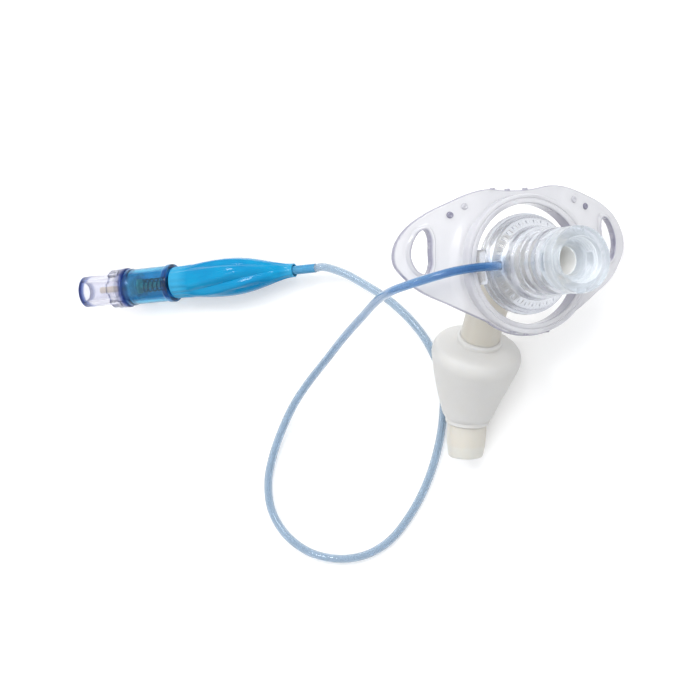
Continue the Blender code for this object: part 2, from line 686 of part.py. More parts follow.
def valve_body(pilot):
    """Clear luer with a castellated collar, a valve seat and a skirt that plugs the housing."""
    base, mouth = collar_base(), luer_mouth()
    ring_end = base + COLLAR_RING
    teeth_end = ring_end + TOOTH_LENGTH
    skirt = HOUSING_R - HOUSING_WALL - SEAT_GAP
    throat = LUER_MOUTH_R - LUER_TAPER * (mouth - base)
    profile = [
        (base - SKIRT_LENGTH, skirt - SKIRT_WALL), (base - SKIRT_LENGTH, skirt), (base, skirt),
        (base, COLLAR_R - FINE_CORNER), (base + FINE_CORNER, COLLAR_R), (teeth_end - CORNER, COLLAR_R),
        (teeth_end, COLLAR_R - CORNER), (teeth_end, LUER_R), (mouth - FINE_CORNER, LUER_R),
        (mouth, LUER_R - FINE_CORNER), (mouth, LUER_MOUTH_R + FINE_CORNER), (mouth - FINE_CORNER, LUER_MOUTH_R),
        (base, throat), (base, SEAT_HOLE_R), (valve_seat(), SEAT_HOLE_R), (valve_seat(), skirt - SKIRT_WALL),
    ]
    clear = plastic("luer_clear", (0.88, 0.9, 0.95), 0.08, 0.45)
    body = add_object("valve_body", turned(profile, COLLAR_SIDES), clear, pilot)
    gaps = []
    pitch = 2 * math.pi / COLLAR_TEETH
    for i in range(COLLAR_TEETH):
        half = math.tan(pitch * (1 - TOOTH_SHARE) / 2) * COLLAR_R
        notch = block((-half, ring_end, LUER_R + FINE_CORNER), (half, teeth_end + TOOTH_LENGTH, 2 * COLLAR_R))
        bmesh.ops.rotate(notch, verts=notch.verts, matrix=Matrix.Rotation((i + 0.5) * pitch, 3, "Y"))
        gaps.append(add_object(f"collar_notch_{i}", notch, parent=pilot))
    combine(body, "DIFFERENCE", gaps)
    return body


def valve_plunger(slide):
    """Stem through the seat, head behind the seal and a guide pin inside the spring."""
    head_front = valve_seat() - SEAL_THICKNESS - 2 * SEAT_GAP
    head_back = head_front - HEAD_THICKNESS
    tip = luer_mouth() - STEM_TIP_DEPTH
    guide = housing_base() + HOUSING_WALL + VALVE_TRAVEL + GUIDE_CLEARANCE
    profile = [
        (guide, 0), (guide, STEM_R - FINE_CORNER), (guide + FINE_CORNER, STEM_R), (head_back, STEM_R),
        (head_back, HEAD_R), (head_front, HEAD_R), (head_front, STEM_R), (tip - CORNER, STEM_R),
        (tip, STEM_R - CORNER), (tip, 0),
    ]
    beige = plastic("plunger_beige", (0.6, 0.5, 0.38), 0.4)
    return add_object("valve_plunger", turned(profile, STEM_SIDES), beige, slide)


def valve_seal(slide):
    """Rubber washer between the plunger's head and the seat."""
    front = valve_seat() - SEAT_GAP
    back = front - SEAL_THICKNESS
    inner, outer = STEM_R + SEAT_GAP, HEAD_R + FINE_CORNER
    profile = [(back, inner), (back, outer), (front, outer), (front, inner)]
    black = plastic("seal_black", (0.05, 0.05, 0.06), 0.6)
    return add_object("valve_seal", turned(profile, SMALL_SIDES), black, slide)


def valve_spring(pilot):
    """Open coil from the housing's floor to the back of the plunger's head."""
    back = housing_base() + HOUSING_WALL + SEAT_GAP + SPRING_WIRE_R
    front = valve_seat() - SEAL_THICKNESS - 3 * SEAT_GAP - HEAD_THICKNESS - SPRING_WIRE_R
    drawing = bpy.data.curves.new("valve_spring", "CURVE")
    drawing.dimensions = "3D"
    drawing.bevel_depth = SPRING_WIRE_R
    drawing.bevel_resolution = 0
    drawing.use_fill_caps = True
    spline = drawing.splines.new("POLY")
    count = SPRING_TURNS * SPRING_STEPS
    spline.points.add(count)
    for i, point in enumerate(spline.points):
        turn = 2 * math.pi * SPRING_TURNS * i / count
        point.co = (SPRING_R * math.cos(turn), back + (front - back) * i / count, SPRING_R * math.sin(turn), 1)
    spring = bpy.data.objects.new("valve_spring", drawing)
    drawing.materials.append(metal("spring_steel", (0.12, 0.14, 0.16), 0.35))
    bpy.context.scene.collection.objects.link(spring)
    spring.parent = pilot
    return spring


def seen_points(things, place):
    """The corners of the objects' finished meshes, in a frame, as an array."""
    bpy.context.view_layer.update()
    graph = bpy.context.evaluated_depsgraph_get()
    found = []
    for thing in things:
        finished = thing.evaluated_get(graph)
        mesh = finished.to_mesh()
        found += [place @ finished.matrix_world @ vert.co for vert in mesh.vertices]
        finished.to_mesh_clear()
    return np.array(found)


def lay_down(frame, tube, film, flange, others):
    """Turns the device so that its wing end, its cuff and its tip touch the table, and centres it."""
    still = Matrix.Identity(4)
    ends = seen_points([tube], still)
    wing = seen_points([flange], still)
    beyond_cuff = ends[:, 2] < along_tube(CUFF_START + CUFF_LENGTH)[0].z
    groups = [wing[wing[:, 0] > WING_ROOT_X], seen_points([film], still), ends[beyond_cuff]]
    down = np.array(FIRST_DOWN)
    for _ in range(SETTLING_TURNS):
        feet = [points[np.argmax(points @ down)] for points in groups]
        normal = np.cross(feet[1] - feet[0], feet[2] - feet[0])
        normal /= np.linalg.norm(normal)
        down = normal if normal @ down > 0 else -normal
    up = Vector(-down)
    along = (AXIS_Z - up * AXIS_Z.dot(up)).normalized()
    turn = Matrix((along, up.cross(along), up)).to_4x4()
    corners = seen_points([tube, film, flange, *others], turn)
    low, high = corners.min(axis=0), corners.max(axis=0)
    middle = Vector(((low[0] + high[0]) / 2, (low[1] + high[1]) / 2, low[2]))
    frame.matrix_world = Matrix.Translation(-middle) @ turn
    bpy.context.view_layer.update()


def inflation_line(frame, pilot):
    """The free line: out of its socket, over the wing, round its loop and into the sleeve."""
    exit_point = frame.matrix_world @ Vector((-line_exit_x() - SEAT_GAP, -LINE_HEIGHT, 0))
    exit_way = (frame.matrix_world.to_3x3() @ -AXIS_X).normalized()
    end_point = pilot.matrix_world @ Vector((0, -SEAT_GAP, 0))
    end_way = (pilot.matrix_world.to_3x3() @ -AXIS_Y).normalized()
    leads = [exit_point, exit_point + exit_way * LINE_LEAD / 2, exit_point + exit_way * LINE_LEAD]
    arrivals = [end_point + end_way * SLEEVE_LEAD, end_point]
    table = (LINE_R + TABLE_CLEARANCE) / MM
    between = [*LINE_OVER_WING, *[(x, y, table) for x, y in LINE_LOOP], *LINE_TO_SLEEVE]
    route = [*leads, *[Vector(place) * MM for place in between], *arrivals]
    fine = smooth_through(route, LINE_FINE_STEPS, False)
    gaps = np.linalg.norm(np.diff(fine, axis=0), axis=1)
    reach = np.concatenate([[0], np.cumsum(gaps)])
    drawing = bpy.data.curves.new("inflation_line", "CURVE")
    drawing.dimensions = "3D"
    drawing.bevel_depth = LINE_R
    drawing.bevel_resolution = 2
    drawing.use_fill_caps = True
    spline = drawing.splines.new("POLY")
    spline.points.add(LINE_POINTS - 1)
    for point, place in zip(spline.points, np.linspace(0, reach[-1], LINE_POINTS)):
        point.co = (*[np.interp(place, reach, fine[:, k]) for k in range(3)], 1)
    line = bpy.data.objects.new("inflation_line", drawing)
    drawing.materials.append(plastic("line_blue", (0.45, 0.6, 0.85), 0.2, 0.8))
    bpy.context.scene.collection.objects.link(line)
    return line


def build():
    clear_scene()
    frame = empty("device_frame")
    tube = outer_cannula(frame)
    lining = inner_cannula_tube(frame)
    hub = hub_body(frame)
    connector = inner_cannula_connector(frame)
    flange = neck_flange(frame)
    film = cuff(frame)
    lay_down(frame, tube, film, flange, [lining, hub, connector])
    height = COLLAR_R + TABLE_CLEARANCE
    place = Matrix.Translation((*PILOT_PLACE, height)) @ Matrix.Rotation(PILOT_HEADING - math.pi / 2, 4, "Z")
    pilot = empty("pilot_frame", place)
    balloon_tail_sleeve(pilot)
    pilot_balloon(pilot)
    valve_housing(pilot)
    valve_body(pilot)
    slide = empty("plunger_axis", Matrix.Identity(4), pilot)
    valve_plunger(slide)
    valve_seal(slide)
    valve_spring(pilot)
    bpy.context.view_layer.update()
    inflation_line(frame, pilot)


build()
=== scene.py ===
"""A cuffed tracheostomy tube on a white table, with the loop of its inflation line and its pilot balloon."""

import json
import math

import bmesh
import bpy
import numpy as np
from mathutils import Matrix


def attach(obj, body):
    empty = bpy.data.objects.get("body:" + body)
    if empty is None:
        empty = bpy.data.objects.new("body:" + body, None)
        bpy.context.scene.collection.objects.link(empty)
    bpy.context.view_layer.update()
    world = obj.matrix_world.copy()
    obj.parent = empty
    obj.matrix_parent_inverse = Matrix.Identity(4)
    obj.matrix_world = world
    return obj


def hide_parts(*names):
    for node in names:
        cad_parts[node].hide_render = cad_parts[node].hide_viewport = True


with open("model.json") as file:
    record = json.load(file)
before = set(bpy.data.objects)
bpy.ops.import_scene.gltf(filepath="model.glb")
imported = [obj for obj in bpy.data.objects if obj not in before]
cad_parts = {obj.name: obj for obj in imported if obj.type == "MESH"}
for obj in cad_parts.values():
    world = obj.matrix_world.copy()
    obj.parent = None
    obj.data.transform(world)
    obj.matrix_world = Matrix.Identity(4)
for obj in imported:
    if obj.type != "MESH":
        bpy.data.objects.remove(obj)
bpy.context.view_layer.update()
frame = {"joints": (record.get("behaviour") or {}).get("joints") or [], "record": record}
MM = 0.001


# Camera: high over the table, a long lens, with the neck flange's upper edge towards the top of the picture.
def placed(name, data):
    """An object with this data, in the scene."""
    thing = bpy.data.objects.new(name, data)
    bpy.context.scene.collection.objects.link(thing)
    return thing


camera_data = bpy.data.cameras.new("camera")
camera_data.sensor_width = 36.0
camera_data.lens = 149.51
camera_data.clip_start, camera_data.clip_end = 0.05, 10.0
camera = placed("camera", camera_data)
camera_right = (-0.0635, -0.8873, -0.4569, 0.0)
camera_up = (0.9980, -0.0585, -0.0251, 0.0)
camera_back = (-0.0045, -0.4575, 0.8892, 0.0)
camera_place = (-0.00649, -0.27156, 0.63768, 1.0)
camera.matrix_world = Matrix([camera_right, camera_up, camera_back, camera_place]).transposed()
bpy.context.scene.camera = camera


# Two frames for drawing the mouldings in mm, placed by the record. The device's has X across the neck, Y to
# the back and its origin on the hub's back face; the pilot's has Y from the line's end to the luer mouth.
joints = {joint["name"]: joint for joint in frame["joints"]}
mounts = {mount["name"]: mount for mount in frame["record"]["mounts"]}


def own_frame(across, along, known, place):
    """Turns points in mm into world points in metres, with the known point at this place."""
    across, along = np.array(across, float), np.array(along, float)
    turn = np.stack([across, along, np.cross(across, along)])
    origin = np.array(place) - np.array(known) * MM @ turn
    return lambda points: np.asarray(points) * MM @ turn + origin


PIVOT_Y = -0.6
swivel, luer = joints["flange_swivel"], mounts["luer_mouth"]
device_back = -np.array(mounts["connector_mouth"]["axis"])
device = own_frame(swivel["axis"], device_back, (0.0, PIVOT_Y, 0.0), swivel["pos_m"])
LUER_MOUTH = 66.8
LUER_FACE_MIDDLE = 3.15
pilot_across = np.cross(luer["axis"], (0.0, 0.0, 1.0))
pilot = own_frame(pilot_across, luer["axis"], (LUER_FACE_MIDDLE, LUER_MOUTH, 0.0), luer["pos_m"])


# Inflation line: 2 mm tube of clear blue PVC with a fine bore, extruded. It leaves the hub's left side, rises
# over the left wing, sags to the table, lies in one loose loop and runs on through the tail sleeve.
LINE_R, LINE_BORE_R, LINE_END_ROUND, LINE_SIDES = 1.0, 0.55, 0.12, 20
LINE_SOCKET = (-8.85, -4.65, 0.0)
LINE_ON_TABLE = 1.05
line_exit, sleeve_start = device(LINE_SOCKET) / MM, pilot([0.0, 0.0, 0.0]) / MM
exit_way = (device([-1.0, 0.0, 0.0]) - device([0.0, 0.0, 0.0])) / MM
sleeve_way = pilot([0.0, 1.0, 0.0]) / MM - sleeve_start
over_wing = [
    (12.6, 5.2, 46.2), (11.6, 9.2, 49.0), (10.4, 14.4, 49.8), (9.3, 20.2, 47.6), (7.7, 27.8, 40.0),
    (4.2, 38.2, 28.4), (-0.4, 48.3, 19.2), (-5.6, 57.0, 12.6), (-10.3, 64.2, 8.0), (-15.4, 70.2, 5.0),
    (-20.9, 74.8, 3.0), (-28.0, 79.0, 1.7),
]
loop = [
    (-34.6, 81.3), (-41.5, 81.0), (-47.8, 77.6), (-52.6, 71.2), (-54.6, 63.0), (-53.8, 55.2), (-50.6, 48.6),
    (-45.0, 42.9), (-37.6, 37.8), (-28.8, 33.9), (-19.8, 31.7), (-11.4, 31.5), (-3.4, 34.4), (2.6, 38.6),
]
to_sleeve = [(8.6, 44.7, 1.5), (12.6, 50.2, 2.7), (15.6, 54.8, 4.1)]
line_knots = np.array([
    *[line_exit + s * exit_way for s in (0, 2.5, 5.0)], *over_wing,
    *[(x, y, LINE_ON_TABLE) for x, y in loop], *to_sleeve,
    *[sleeve_start + s * sleeve_way for s in (-2.3, 0, 4, 8)],
])
CURVE_SAMPLES = 4000


def smooth_line(knots, spacing, closed=False):
    """Evenly spaced points on a centripetal curve, which blends two parabolas through each four knots."""
    knots = np.asarray(knots, float)
    if closed:
        ends = np.concatenate([knots[-1:], knots, knots[:2]])
    else:
        ends = np.concatenate([[2 * knots[0] - knots[1]], knots, [2 * knots[-1] - knots[-2]]])
    time = np.concatenate([[0], np.cumsum(np.sqrt(np.linalg.norm(np.diff(ends, axis=0), axis=1)))])
    at = np.linspace(time[1], time[-2], CURVE_SAMPLES)
    first = np.clip(np.searchsorted(time, at, side="right") - 2, 0, len(ends) - 4)
    t = [time[first + k][:, None] for k in range(4)]
    p = [ends[first + k] for k in range(4)]
    now = at[:, None]

    def mix(a, b, low, high):
        return a + (b - a) * (now - low) / (high - low)

    ab, bc, cd = mix(p[0], p[1], t[0], t[1]), mix(p[1], p[2], t[1], t[2]), mix(p[2], p[3], t[2], t[3])
    fine = mix(mix(ab, bc, t[0], t[2]), mix(bc, cd, t[1], t[3]), t[1], t[2])
    reach = np.concatenate([[0], np.cumsum(np.linalg.norm(np.diff(fine, axis=0), axis=1))])
    places = np.linspace(0, reach[-1], int(reach[-1] / spacing) + 1)
    return np.stack([np.interp(places, reach, column) for column in fine.T], axis=1)


def square_to(path):
    """Two unit vectors square to the path at each point, carried along it so that they don't spin."""
    way = np.gradient(path, axis=0)
    way /= np.linalg.norm(way, axis=1)[:, None]
    side = np.zeros_like(way)
    side[0] = np.cross(way[0], (0.3, 0.2, 1.0))
    for i, ahead in enumerate(way):
        side[i] = side[max(i - 1, 0)] - ahead * (side[max(i - 1, 0)] @ ahead)
        side[i] /= np.linalg.norm(side[i])
    return side, np.cross(way, side)


def around(sides):
    """A row of angles, evenly round a full turn."""
    return np.linspace(0, 2 * math.pi, sides, endpoint=False)[None, :]


def along_path(path, radii, sides, steps):
    """A skin round a path: ring k stands on path point steps[k], with radius radii[k]."""
    side, other = square_to(path)
    turn = around(sides)[..., None]
    arms = np.cos(turn) * side[steps][:, None] + np.sin(turn) * other[steps][:, None]
    return path[steps][:, None] + np.asarray(radii)[:, None, None] * arms


def quads(rows, columns, close_rows, close_columns):
    """The faces of a grid of points, each a square of four neighbours, closed round either way."""
    index = np.arange(rows * columns).reshape(rows, columns)
    below = np.roll(index, -1, 0)
    faces = np.stack([index, below, np.roll(below, -1, 1), np.roll(index, -1, 1)], axis=-1)
    faces = faces if close_rows else faces[:-1]
    faces = faces if close_columns else faces[:, :-1]
    return faces.reshape(-1, 4)


SHARP_ANGLE = math.radians(38.0)


def piece(name, skins, body, node, values=None):
    """One object from skins of world points, each a grid closed both ways, or a grid and its two closings.
    Points that meet are merged and faces turned outwards. The finish reads the values, one per point or per
    ring of points."""
    points, faces, start = [], [], 0
    for skin in skins:
        grid, close_rows, close_columns = skin if isinstance(skin, tuple) else (skin, True, True)
        faces.append(quads(*grid.shape[:2], close_rows, close_columns) + start)
        points.append(grid.reshape(-1, 3))
        start += len(points[-1])
    mesh = bpy.data.meshes.new(name)
    mesh.from_pydata(np.concatenate(points).tolist(), [], np.concatenate(faces).tolist())
    for label, value in (values or {}).items():
        kept = mesh.attributes.new(label, "FLOAT", "POINT")
        value = np.asarray(value, np.float32).ravel()
        kept.data.foreach_set("value", np.repeat(value, start // len(value)))
    tidy = bmesh.new()
    tidy.from_mesh(mesh)
    bmesh.ops.remove_doubles(tidy, verts=tidy.verts, dist=0.0005 * MM)
    bmesh.ops.recalc_face_normals(tidy, faces=tidy.faces)
    tidy.to_mesh(mesh)
    tidy.free()
    mesh.shade_smooth()
    mesh.set_sharp_from_angle(angle=SHARP_ANGLE)
    thing = placed(name, mesh)
    if body:
        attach(thing, body)
        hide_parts(node)
    return thing


class Signal:
    """A value that varies over a surface. Arithmetic on it adds Math nodes."""

    def __init__(self, nodes, socket):
        self.nodes, self.socket = nodes, socket

    def math(self, operation, *values):
        """A Math node's result for these values."""
        return self.nodes.node("ShaderNodeMath", {"operation": operation}, dict(enumerate(values)))

    def __add__(self, other):
        return self.math("ADD", self, other)

    def __rsub__(self, other):
        return self.math("SUBTRACT", other, self)

    def __mul__(self, other):
        return self.math("MULTIPLY", self, other)


class Nodes:
    """A node tree that values are worked out in."""

    def __init__(self, tree):
        self.tree = tree

    def wire(self, node, values):
        """Sets the inputs of a node: a Signal is linked, and a colour is made opaque."""
        for key, value in values.items():
            socket = node.inputs[key]
            if isinstance(value, Signal):
                self.tree.links.new(value.socket, socket)
            elif isinstance(value, tuple) and socket.type == "RGBA":
                socket.default_value = (*value, 1.0)
            else:
                socket.default_value = value

    def node(self, kind, settings=None, values=None, output=0):
        """Adds a node and gives one of its outputs. The setting "stops" lists a ramp's places and colours."""
        made = self.tree.nodes.new(kind)
        for key, value in (settings or {}).items():
            if key == "stops":
                ramp = made.color_ramp.elements
                ramp.remove(ramp[1])
                ramp[0].position, ramp[0].color = value[0][0], (*value[0][1], 1.0)
                for place, colour in value[1:]:
                    ramp.new(place).color = (*colour, 1.0)
            else:
                setattr(made, key, value)
        self.wire(made, values or {})
        return Signal(self, made.outputs[output])

    def ramp(self, signal, *stops):
        """A colour by where the signal is between the stops."""
        return self.node("ShaderNodeValToRGB", {"stops": stops}, {0: signal})

    def mix(self, share, first, second):
        """The first colour where the share is 0, and the second where it is 1."""
        return self.node("ShaderNodeMix", {"data_type": "RGBA"}, {0: share, 6: first, 7: second}, output=2)

    def between(self, signal, low, high):
        """0 below low and 1 above high, with a soft step between them."""
        values = {"Value": signal, "From Min": low, "From Max": high}
        return self.node("ShaderNodeMapRange", {"interpolation_type": "SMOOTHSTEP"}, values)


class Finish(Nodes):
    """A material round one Principled shader. A socket's words are joined by underscores in a call."""

    def __init__(self, name, **values):
        self.material = bpy.data.materials.new(name)
        self.material.use_nodes = True
        super().__init__(self.material.node_tree)
        self.shader = self.tree.nodes["Principled BSDF"]
        self.vary(**values)

    def vary(self, **values):
        """Sets the shader's even values, and wires those that change over the surface."""
        self.wire(self.shader, {key.replace("_", " "): value for key, value in values.items()})
        return self

    def noise(self, lump_mm, detail=2.0, stretch=(1.0, 1.0, 1.0)):
        """Noise from 0 to 1 on Object coordinates, in lumps of this many mm."""
        where = self.node("ShaderNodeTexCoord", output="Object")
        scale = tuple(s / (lump_mm * MM) for s in stretch)
        where = self.node("ShaderNodeVectorMath", {"operation": "MULTIPLY"}, {0: where, 1: scale})
        return self.node("ShaderNodeTexNoise", {}, {"Vector": where, "Scale": 1.0, "Detail": detail})

    def base(self, tone):
        """Makes this tone the base colour, which tints are mixed into."""
        self.tone = tone
        return self.vary(Base_Color=tone)

    def clouded(self, first, second, *lumps):
        """A base that wanders between two screen colours with the noise of these lumps."""
        return self.base(self.mix(self.noise(*lumps), seen(*first), seen(*second)))

    def tint(self, share, *colour):
        """Mixes this share of a screen colour into the base."""
        return self.base(self.mix(share, self.tone, seen(*colour)))

    def attribute(self, name):
        """The values that the mesh keeps per point under this name."""
        return self.node("ShaderNodeAttribute", {"attribute_name": name}, output="Fac")

    def near(self, point, inner_mm, outer_mm):
        """1 within the inner distance of a world point, and 0 past the outer one."""
        where = self.node("ShaderNodeTexCoord", output="Object")
        values = {0: where, 1: tuple(point)}
        away = self.node("ShaderNodeVectorMath", {"operation": "DISTANCE"}, values, output=1)
        return 1.0 - self.between(away, inner_mm * MM, outer_mm * MM)

    def bump(self, depth_mm, *lumps):
        """An uneven surface of this depth, from the noise of these lumps."""
        values = {"Height": self.noise(*lumps), "Distance": depth_mm * MM}
        return self.vary(Normal=self.node("ShaderNodeBump", {}, values))

    def passes(self, share):
        """Lets this share of a lamp's light through the piece, as clear plastic does."""
        return self.vary(Alpha=1.0 - self.node("ShaderNodeLightPath", output="Is Shadow Ray") * share)

    def on(self, *things):
        """Gives the pieces this material and no other."""
        for thing in things:
            thing.data.materials.clear()
            thing.data.materials.append(self.material)
        return self


def seen(red, green, blue):
    """A colour given as it looks on a screen, from 0 to 255, as the light it sends back."""
    levels = np.array([red, green, blue]) / 255.0
    return tuple(np.where(levels > 0.04045, ((levels + 0.055) / 1.055) ** 2.4, levels / 12.92).tolist())


line_path = smooth_line(line_knots, 0.6) * MM
stations = np.arange(len(line_path))
line_steps = np.concatenate([stations[:1], stations, stations[-1:], stations[::-1]])
line_radii = np.full(len(line_steps), LINE_R)
line_radii[len(stations) + 2:] = LINE_BORE_R
line_radii[[0, len(stations) + 1]] = LINE_R - LINE_END_ROUND
line = piece(
    "inflation_line_tube", [along_path(line_path, line_radii * MM, LINE_SIDES, line_steps)], "tube",
    "inflation_line", {"along": line_steps / len(line_path)},
)
line_finish = Finish("clear_blue_line", Roughness=0.1, IOR=1.45, Transmission_Weight=0.7)
line_finish.base(line_finish.ramp(
    line_finish.attribute("along"), (0.0, seen(168, 196, 226)), (0.012, seen(104, 158, 208)),
    (0.025, seen(80, 142, 198)), (0.07, seen(132, 174, 214)), (0.13, seen(170, 197, 224)),
    (0.3, seen(186, 205, 222)), (1.0, seen(194, 211, 225)),
))
line_finish.bump(0.012, 0.5, 3.0).passes(0.5).on(line)


# Outer tube: curved tube of cream PVC, extruded, bent hot and cut, with a thicker root that is bonded into
# the hub and a rounded, slightly narrower tip. It carries the cuff.
TUBE_R, TUBE_WALL, TUBE_LENGTH = 4.7, 0.75, 62.0
TUBE_LEAD, BEND_R, BEND_ANGLE, SWEEP_R = 1.3, 21.4, math.radians(47.8), 82.6
BEND_END = TUBE_LEAD + BEND_R * BEND_ANGLE
ROOT_FRONT, ROOT_R = -14.6, 5.2
TIP_TAPER, TIP_R = 3.6, 4.25
TUBE_SIDES = 72


def tube_line(s):
    """The tube's middle line: straight, then a tight arc, then a wide one. Gives y, z and the lean at s."""
    bent = np.clip((s - TUBE_LEAD) / BEND_R, 0, BEND_ANGLE)
    further = bent + np.maximum(s - BEND_END, 0) / SWEEP_R
    y = np.minimum(s, TUBE_LEAD) + BEND_R * np.sin(bent) + SWEEP_R * (np.sin(further) - np.sin(bent))
    return y, BEND_R * (np.cos(bent) - 1) + SWEEP_R * (np.cos(further) - np.cos(bent)), further


def turned(profile, sides, line=None, swell=None):
    """A profile of (s, r) points turned round an axis along Y, or round a bent line.
    Swell gives what is added to r for each s, r and angle from +X."""
    s, r = np.asarray(profile, float).T[:, :, None]
    angle = around(sides)
    r = r + (swell(s, r, angle) if swell else 0 * angle)
    y, z, lean = line(s) if line else (s, 0 * s, 0 * s)
    up = r * np.sin(angle)
    return np.stack([r * np.cos(angle), y + up * np.sin(lean), z + up * np.cos(lean)], axis=-1)


def rounded(corners, steps=5, spacing=None, closed=True):
    """A profile whose corners (s, r, rounding) are parabolas that start at that distance from the corner.
    Sides longer than the spacing are split evenly."""
    corners = np.array(corners, float)
    place, reach = corners[:, :2], corners[:, 2:]
    ways = [np.roll(place, turn, 0) - place for turn in (1, -1)]
    lengths = [np.linalg.norm(way, axis=1)[:, None] for way in ways]
    reach = np.minimum(reach, 0.49 * np.minimum(*lengths))
    start, end = [place + reach * way / length for way, length in zip(ways, lengths)]
    t = np.linspace(0, 1, steps)[None, :, None]
    curve = start[:, None] * (1 - t) ** 2 + 2 * place[:, None] * t * (1 - t) + end[:, None] * t ** 2
    if not closed:
        curve[0], curve[-1] = place[0], place[-1]
    curve = curve.reshape(-1, 2)
    curve = curve[np.linalg.norm(curve - np.roll(curve, 1, 0), axis=1) > 1e-5]
    if not spacing:
        return curve
    after = np.roll(curve, -1, 0) if closed else np.concatenate([curve[1:], curve[-1:]])
    parts = np.maximum(1, np.ceil(np.linalg.norm(after - curve, axis=1) / spacing)).astype(int)
    return np.concatenate([a + (b - a) * np.arange(n)[:, None] / n for a, b, n in zip(curve, after, parts)])


bore = TUBE_R - TUBE_WALL
tube_profile = rounded([
    (ROOT_FRONT, bore, 0.1), (ROOT_FRONT, ROOT_R, 0.25), (-1.0, ROOT_R, 0.6), (0.0, TUBE_R, 0.6),
    (TUBE_LENGTH - TIP_TAPER, TUBE_R, 1.2), (TUBE_LENGTH - 0.5, TIP_R, 0.5), (TUBE_LENGTH, TIP_R - 0.25, 0.2),
    (TUBE_LENGTH, bore - 0.1, 0.15), (TUBE_LENGTH - 1.0, bore, 0.4),
], 6, 0.8)
tube = piece(
    "outer_cannula_tube", [device(turned(tube_profile, TUBE_SIDES, tube_line))], "tube", "outer_cannula",
    {"along": tube_profile[:, 0] / TUBE_LENGTH},
)
tube_finish = Finish(
    "cream_tube_pvc", Roughness=0.34, IOR=1.5, Subsurface_Weight=0.35, Subsurface_Radius=(1.0, 0.8, 0.6),
    Subsurface_Scale=0.0012, Transmission_Weight=0.08,
)
tube_place = tube_finish.attribute("along")
# Painted shade: the base is darker over the root and the stretch down towards the cuff, and lightens to the
# tip. It stands in for the flange's shadow on the tube.
tube_finish.base(tube_finish.ramp(tube_place, (0.3, seen(208, 202, 190)), (0.75, seen(222, 218, 208))))
tube_finish.tint(tube_finish.noise(6.0, 3.0) * 0.5, 226, 222, 212)
tube_finish.tint(tube_finish.between(tube_place, 0.944, 0.956), 224, 222, 214)
tube_finish.bump(0.01, 0.35, 3.0).passes(0.6).on(tube)


# Inner tube: thin disposable lining of clear PVC, extruded, bonded into its connector and pushed in from the
# front. It ends just inside the outer tube's tip.
LINING_R, LINING_BORE_R = 3.65, 3.25
LINING_START, LINING_END, LINING_SIDES = -18.3, 61.2, 64
lining_profile = rounded([
    (LINING_START, LINING_BORE_R, 0.05), (LINING_START, LINING_R, 0.1), (LINING_END, LINING_R, 0.15),
    (LINING_END, LINING_BORE_R, 0.1),
], 4, 1.0)
lining_skin = device(turned(lining_profile, LINING_SIDES, tube_line))
lining = piece("inner_cannula_lining", [lining_skin], "tube", "inner_cannula_tube")
lining_finish = Finish("clear_lining_pvc", Roughness=0.2, IOR=1.4, Transmission_Weight=0.3)
lining_finish.clouded((246, 246, 244), (252, 252, 251), 5.0)
lining_finish.bump(0.01, 0.6, 2.0).passes(0.9).on(lining)


# Hub: clear, glossy moulding with a rim, a dome with a ring of square studs, two steps and a long neck. An
# ear with a pin at each side carries the flange, and the inflation line is bonded into a socket in the left.
HUB_R, HUB_BORE_R, NECK_R, NECK_BORE_R, NECK_FRONT = 11.6, 5.5, 7.5, 6.2, -19.0
STUDS, STUD_SHARE, STUD_RISE, STUD_SPAN = 32, 0.5, 0.34, (-5.5, -4.85)
RIM_NICKS, NICK_SHARE, NICK_DEPTH, NICK_SPAN = 28, 0.35, 0.16, (-1.3, -0.5)
FROSTED_SPAN, NECK_BEAD, HUB_SIDES = (-4.4, 0.5), 0.22, 512
EAR_MIDDLE, EAR_HALF = 11.2, (1.5, 1.5, 4.0)
PIN_R, PIN_END = 1.3, 15.4


def eased(share):
    """A share from 0 to 1 with a soft start and a soft end."""
    share = np.clip(share, 0, 1)
    return share * share * (3 - 2 * share)


def band(value, low, high, edge):
    """1 between low and high, falling to 0 over this edge outside them."""
    return eased(np.clip((value - low) / edge + 1, 0, 1) * np.clip((high - value) / edge + 1, 0, 1))


def comb(angle, count, share, crispness=12):
    """1 on evenly spaced teeth that take this share of the turn, and 0 between them."""
    phase = np.abs((angle * count / (2 * math.pi)) % 1.0 - 0.5)
    return np.clip((share / 2 - phase) * crispness + 0.5, 0, 1)


def hub_swell(s, r, angle):
    """Raised square studs on the dome's sloping face, and shallow nicks round the rim."""
    studs = STUD_RISE * comb(angle, STUDS, STUD_SHARE) * band(s, *STUD_SPAN, 0.1)
    nicks = NICK_DEPTH * comb(angle, RIM_NICKS, NICK_SHARE) * band(s, *NICK_SPAN, 0.15) * (r > HUB_R - 0.4)
    return np.where(r > NECK_R, studs - nicks, 0)


hub_profile = rounded([
    (0.0, HUB_BORE_R, 0.1), (0.0, HUB_R, 0.35), (-1.5, HUB_R, 0.2), (-1.8, 11.1, 0.15), (-2.3, 11.15, 0.15),
    (-3.5, 10.6, 0.6), (-4.3, 10.35, 0.25), (-4.6, 9.95, 0.1), (-5.7, 8.85, 0.1), (-5.9, 8.55, 0.1),
    (-6.5, 8.45, 0.15), (-8.0, 8.3, 0.3), (-9.0, 8.15, 0.35), (-9.1, NECK_R, 0.15), (-11.2, NECK_R, 0.1),
    (-11.35, NECK_R + NECK_BEAD, 0.1), (-11.9, NECK_R + NECK_BEAD, 0.1), (-12.05, NECK_R, 0.1),
    (-14.4, NECK_R, 0.1), (-14.55, NECK_R + NECK_BEAD, 0.1), (-15.1, NECK_R + NECK_BEAD, 0.1),
    (-15.25, NECK_R, 0.1), (NECK_FRONT, NECK_R, 0.3), (NECK_FRONT, NECK_BORE_R, 0.2),
    (-14.9, NECK_BORE_R, 0.1), (-12.6, HUB_BORE_R, 0.2),
], 4, 0.5)
hub_s, hub_r = hub_profile.T[:, :, None]
